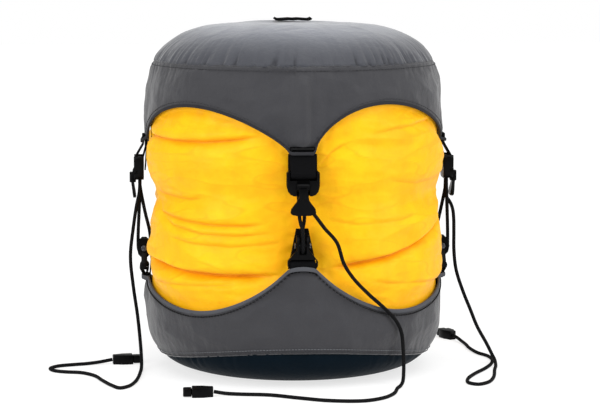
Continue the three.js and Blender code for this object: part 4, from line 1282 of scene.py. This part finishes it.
def loop_path(bar_out, bar_height, bar_half, sewn_out, near, far, up):
    """Down one ply, round the bar and back up the other, to the sewn ends."""
    reach = bar_half * math.sqrt(2) + 0.0004 + WEB_THICKNESS / 2
    wrap = math.radians(20)
    inner, outer = sewn_out + 0.0006, sewn_out + 0.0006 + WEB_THICKNESS + 0.0002
    near = min(near, 0.5 * far)
    path = [(inner, far), (inner, (near + far) / 2), (inner, near)]
    for i in range(13):
        angle = math.pi - wrap + i / 12 * (math.pi + 2 * wrap)
        path.append((bar_out + reach * math.cos(angle), reach * math.sin(angle)))
    path += [(outer + 0.0006, near + 0.25 * (far - near)), (outer, near + 0.6 * (far - near)), (outer, far)]
    return [(out, bar_height + up * rise) for out, rise in path]


def build_webbing():
    for side, turn in SIDES.items():
        def place(across, out, up, turn=turn):
            return turned((across, -out, up), turn)

        bar_out, bar_height = WALL_RADIUS + 0.0055, CAP_TIP - 0.0155
        top = CAP_TIP + 0.0058
        sewn = float(wall_radius(np.array(turn), np.array(top), 0)) + 0.0002
        path = loop_path(bar_out, bar_height, 0.0017, sewn, 0.0135, top - bar_height, 1)
        piece = ribbon(f"tensioner_strap_{side}", path, WEB_WIDTH, WEB_THICKNESS, place)
        finished(piece, material_named("webbing"), "webbing", "cap", f"tensioner_webbing_{side}")
        bartack(f"tensioner_bartack_{side}", sewn + 0.0030, CAP_TIP + 0.0042, turn, "cap")
        tongue(f"tensioner_backing_{side}", (WALL_RADIUS - 0.0015, CAP_TIP), (WALL_RADIUS + 0.0002,
               CAP_TIP - 0.0240), 1.0, place, "cap", 1.15)

        axle = sum(corner.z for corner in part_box(f"pulley_wheel_{side}")) / 2
        bar_height = axle - 0.0159
        edge = float(cup_edge(np.array(turn)))
        near, low = 0.0066, edge - 0.0036
        sewn = float(wall_radius(np.array(turn), np.array(low), 0) + tip_stand(turn, 0.0036)) + 0.0002
        path = loop_path(WALL_RADIUS + 0.0015, bar_height, 0.0016, sewn, near, bar_height - low, -1)
        piece = ribbon(f"pulley_strap_{side}", path, WEB_WIDTH, WEB_THICKNESS, place)
        finished(piece, material_named("webbing"), "webbing", "root", f"pulley_webbing_{side}")
        tongue(f"pulley_backing_{side}", (WALL_RADIUS - 0.0030, edge - 0.002), (WALL_RADIUS - 0.0062,
               axle + 0.013), 0.42, place, "root", 1.16)


def tongue(name, start, end, taper, place, body, width):
    """The sewn webbing tab behind a fitting, from (out, up) to (out, up), narrower at its free end."""
    steps = 8
    path = [(start[0] + (end[0] - start[0]) * i / steps, start[1] + (end[1] - start[1]) * i / steps)
            for i in range(steps + 1)]
    piece = ribbon(name, path, WEB_WIDTH * width, 0.0010, place, taper)
    finished(piece, material_named("webbing"), "webbing", body)


def bartack(name, out, height, turn, body):
    """A dense row of short upright stitches across the webbing."""
    bm = bmesh.new()
    count = 26
    for i in range(count):
        across = (i / (count - 1) - 0.5) * WEB_WIDTH * 0.86
        made = bmesh.ops.create_cube(bm, size=1)["verts"]
        bmesh.ops.scale(bm, vec=(0.00075, 0.0009, 0.0032), verts=made)
        bmesh.ops.rotate(bm, verts=made, cent=(0, 0, 0), matrix=Matrix.Rotation(0.25 * (-1) ** i, 3, "Y"))
        bmesh.ops.translate(bm, vec=(across, -out, height), verts=made)
    bmesh.ops.rotate(bm, verts=bm.verts, cent=(0, 0, 0), matrix=Matrix.Rotation(turn, 3, "Z"))
    piece = mesh_piece(name, bm)
    finished(piece, material_named("black_thread"), "webbing", body)


def build_grab_loop():
    low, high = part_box("grab_loop")
    middle, half = (low + high) / 2, (high.x - low.x) / 2
    base = low.z + 0.0006
    bends = ((1, 0.0019), (0.94, 0.0010), (0.80, 0.0006), (0.5, 0.0009), (0.25, 0.0012), (0, 0.0009))
    path = [(-half * share, base + rise) for share, rise in bends]
    path += [(half * share, base + rise) for share, rise in reversed(bends[:-1])]

    def place(across, out, up):
        return Vector((out, middle.y + across, up))

    piece = ribbon("grab_strap", path, WEB_WIDTH, 1.5 * WEB_THICKNESS, place)
    finished(piece, material_named("webbing"), "webbing", "cap", "grab_loop")


# ---------------------------------------------------------------- closure under the cap

def build_closure():
    collar = bevelled_copy("mouth_collar", 0.0008, "sack", "sack_fabric", "cap")
    add_flat_uv(collar.data)
    drawcord = bevelled_copy("mouth_drawcord", 0.0002, "cord", "cord", "cap")
    add_flat_uv(drawcord.data)
    bevelled_copy("cord_lock_body", 0.0004, "plastic", "black_plastic", "cap")
    bevelled_copy("cord_lock_button", 0.0004, "plastic", "black_plastic", "cord_lock_button")
    spring = bevelled_copy("cord_lock_spring", 0.00005, "rivet", "spring_steel", None)
    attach(spring, "cap")
    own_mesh(spring)


# ---------------------------------------------------------------- add-on

def colour_setting(name, description, default):
    return FloatVectorProperty(name=name, description=description, subtype="COLOR", default=default,
                               min=0, max=1)


class SackLooks(bpy.types.PropertyGroup):
    """Colours of the sack's cloths. The sack's and crown's shade colours are also painted shade in folds and
    puckers, the crown colour is a painted sheen, and the cap tape colour is painted shade.
    """

    sack_colour: colour_setting("Sack", "Yellow inner sack", (0.85, 0.46, 0.0015))
    # Painted shade: the sack's colour in its creases, beside the lines and under the edges. It is also used
    # for a random mottle.
    sack_shade: colour_setting("Sack folds", "Inner sack in its folds", (0.74, 0.21, 0.0002))
    shell_colour: colour_setting("Shell", "Cap and cup sides", (0.034, 0.034, 0.038))
    shell_shade: colour_setting("Shell shade", "Cap and cup sides, darker patches", (0.023, 0.023, 0.027))
    # Painted sheen: the crown's top is painted lighter than its cloth. crown_shade is the cloth near the seam
    # and painted shade in its puckers.
    crown_painted_sheen_colour: colour_setting("Crown", "Top panel", (0.200, 0.212, 0.245))
    crown_shade: colour_setting("Crown folds", "Top panel in its puckers", (0.023, 0.024, 0.030))
    base_colour: colour_setting("Base", "Base panel", (0.0020, 0.0058, 0.0100))
    base_shade: colour_setting("Base shade", "Base panel, darker patches", (0.0012, 0.0036, 0.0064))
    binding_colour: colour_setting("Binding", "Edge tape", (0.064, 0.066, 0.074))
    binding_shade: colour_setting("Binding shade", "Edge tape, darker threads", (0.046, 0.047, 0.054))
    # Painted shade: the cap tape darkened for the shade on its downward-facing edge. tape_shade is its darker
    # threads.
    shaded_tape_colour: colour_setting("Cap tape", "Tape on the cap's edge", (0.020, 0.020, 0.023))
    tape_shade: colour_setting("Cap tape shade", "Cap tape's darker threads", (0.010, 0.010, 0.012))


class SackStage(bpy.types.PropertyGroup):
    """Where the camera stands and how bright the room is."""

    azimuth: FloatProperty(name="Azimuth", description="Camera's turn round the sack", subtype="ANGLE",
                           default=math.radians(-3.3))
    elevation: FloatProperty(name="Elevation", description="Camera's angle above the floor",
                             subtype="ANGLE", default=math.radians(6.5))
    distance: FloatProperty(name="Distance", description="Camera to the aim point", unit="LENGTH",
                            default=1.8)
    aim_height: FloatProperty(name="Aim height", description="Height the camera looks at", unit="LENGTH",
                              default=0.150)
    lens: FloatProperty(name="Lens", description="Focal length in millimetres", default=127.06)
    shift_x: FloatProperty(name="Shift X", description="Sideways lens shift", default=0.0108)
    shift_y: FloatProperty(name="Shift Y", description="Upright lens shift", default=-0.0333)
    overhead: FloatProperty(name="Overhead light", description="Strength of the soft overhead light",
                            default=2.4)
    room_light: FloatProperty(name="Room light", description="Strength of the white room", default=0.40)
    paper_glow: FloatProperty(name="Paper glow", description="Light from behind the white floor",
                              default=0.72)


class SACK_OT_stage(bpy.types.Operator):
    """Set the camera, the soft lights and the white floor"""

    bl_idname = "stuff_sack.stage"
    bl_label = "Stage"

    def execute(self, context):
        build_stage(context.scene.sack_stage)
        return {"FINISHED"}


class SACK_OT_free_tails(bpy.types.Operator):
    """Lay the three free cord tails and their moulded ends"""

    bl_idname = "stuff_sack.free_tails"
    bl_label = "Free tails"

    def execute(self, context):
        build_free_tails()
        return {"FINISHED"}


class SACK_OT_running_cords(bpy.types.Operator):
    """Run a cord from each tensioner round its pulley and back"""

    bl_idname = "stuff_sack.running_cords"
    bl_label = "Running cords"

    def execute(self, context):
        build_running_cords()
        return {"FINISHED"}


class SACK_OT_fittings(bpy.types.Operator):
    """Round the edges of the tensioners, levers and pulley blocks"""

    bl_idname = "stuff_sack.fittings"
    bl_label = "Moulded fittings"

    def execute(self, context):
        build_fittings()
        return {"FINISHED"}


class SACK_OT_packed_sack(bpy.types.Operator):
    """Fill out the yellow inner sack with its folds"""

    bl_idname = "stuff_sack.packed_sack"
    bl_label = "Packed sack"

    def execute(self, context):
        build_sack()
        return {"FINISHED"}


class SACK_OT_cap(bpy.types.Operator):
    """Sew the scalloped cap and its gathered crown"""

    bl_idname = "stuff_sack.cap"
    bl_label = "Cap"

    def execute(self, context):
        build_cap()
        return {"FINISHED"}


class SACK_OT_cup(bpy.types.Operator):
    """Sew the scalloped cup and its base panel"""

    bl_idname = "stuff_sack.cup"
    bl_label = "Cup"

    def execute(self, context):
        build_cup()
        return {"FINISHED"}


class SACK_OT_webbing(bpy.types.Operator):
    """Fold the webbing round each fitting and sew the grab loop"""

    bl_idname = "stuff_sack.webbing"
    bl_label = "Webbing"

    def execute(self, context):
        build_webbing()
        build_grab_loop()
        return {"FINISHED"}


class SACK_OT_closure(bpy.types.Operator):
    """Finish the gathered mouth, its drawcord and the cord lock"""

    bl_idname = "stuff_sack.closure"
    bl_label = "Mouth closure"

    def execute(self, context):
        build_closure()
        return {"FINISHED"}


OPERATORS = (SACK_OT_stage, SACK_OT_free_tails, SACK_OT_running_cords, SACK_OT_fittings,
             SACK_OT_packed_sack, SACK_OT_cap, SACK_OT_cup, SACK_OT_webbing, SACK_OT_closure)


class SACK_PT_panel(bpy.types.Panel):
    """Lists the steps that build the sack"""

    bl_idname = "SACK_PT_panel"
    bl_label = "Stuff sack"
    bl_space_type = "VIEW_3D"
    bl_region_type = "UI"
    bl_category = "Stuff sack"

    def draw(self, context):
        for operator in OPERATORS:
            self.layout.operator(operator.bl_idname)
        for group in (context.scene.sack_looks, context.scene.sack_stage):
            for name in group.__annotations__:
                self.layout.prop(group, name)


CLASSES = (SackLooks, SackStage, *OPERATORS, SACK_PT_panel)


def register():
    for cls in CLASSES:
        bpy.utils.register_class(cls)
    bpy.types.Scene.sack_looks = PointerProperty(type=SackLooks)
    bpy.types.Scene.sack_stage = PointerProperty(type=SackStage)


def unregister():
    del bpy.types.Scene.sack_stage
    del bpy.types.Scene.sack_looks
    for cls in reversed(CLASSES):
        bpy.utils.unregister_class(cls)


def main():
    register()
    for operator in OPERATORS:
        group, name = operator.bl_idname.split(".")
        getattr(getattr(bpy.ops, group), name)()


if __name__ == "__main__":
    main()
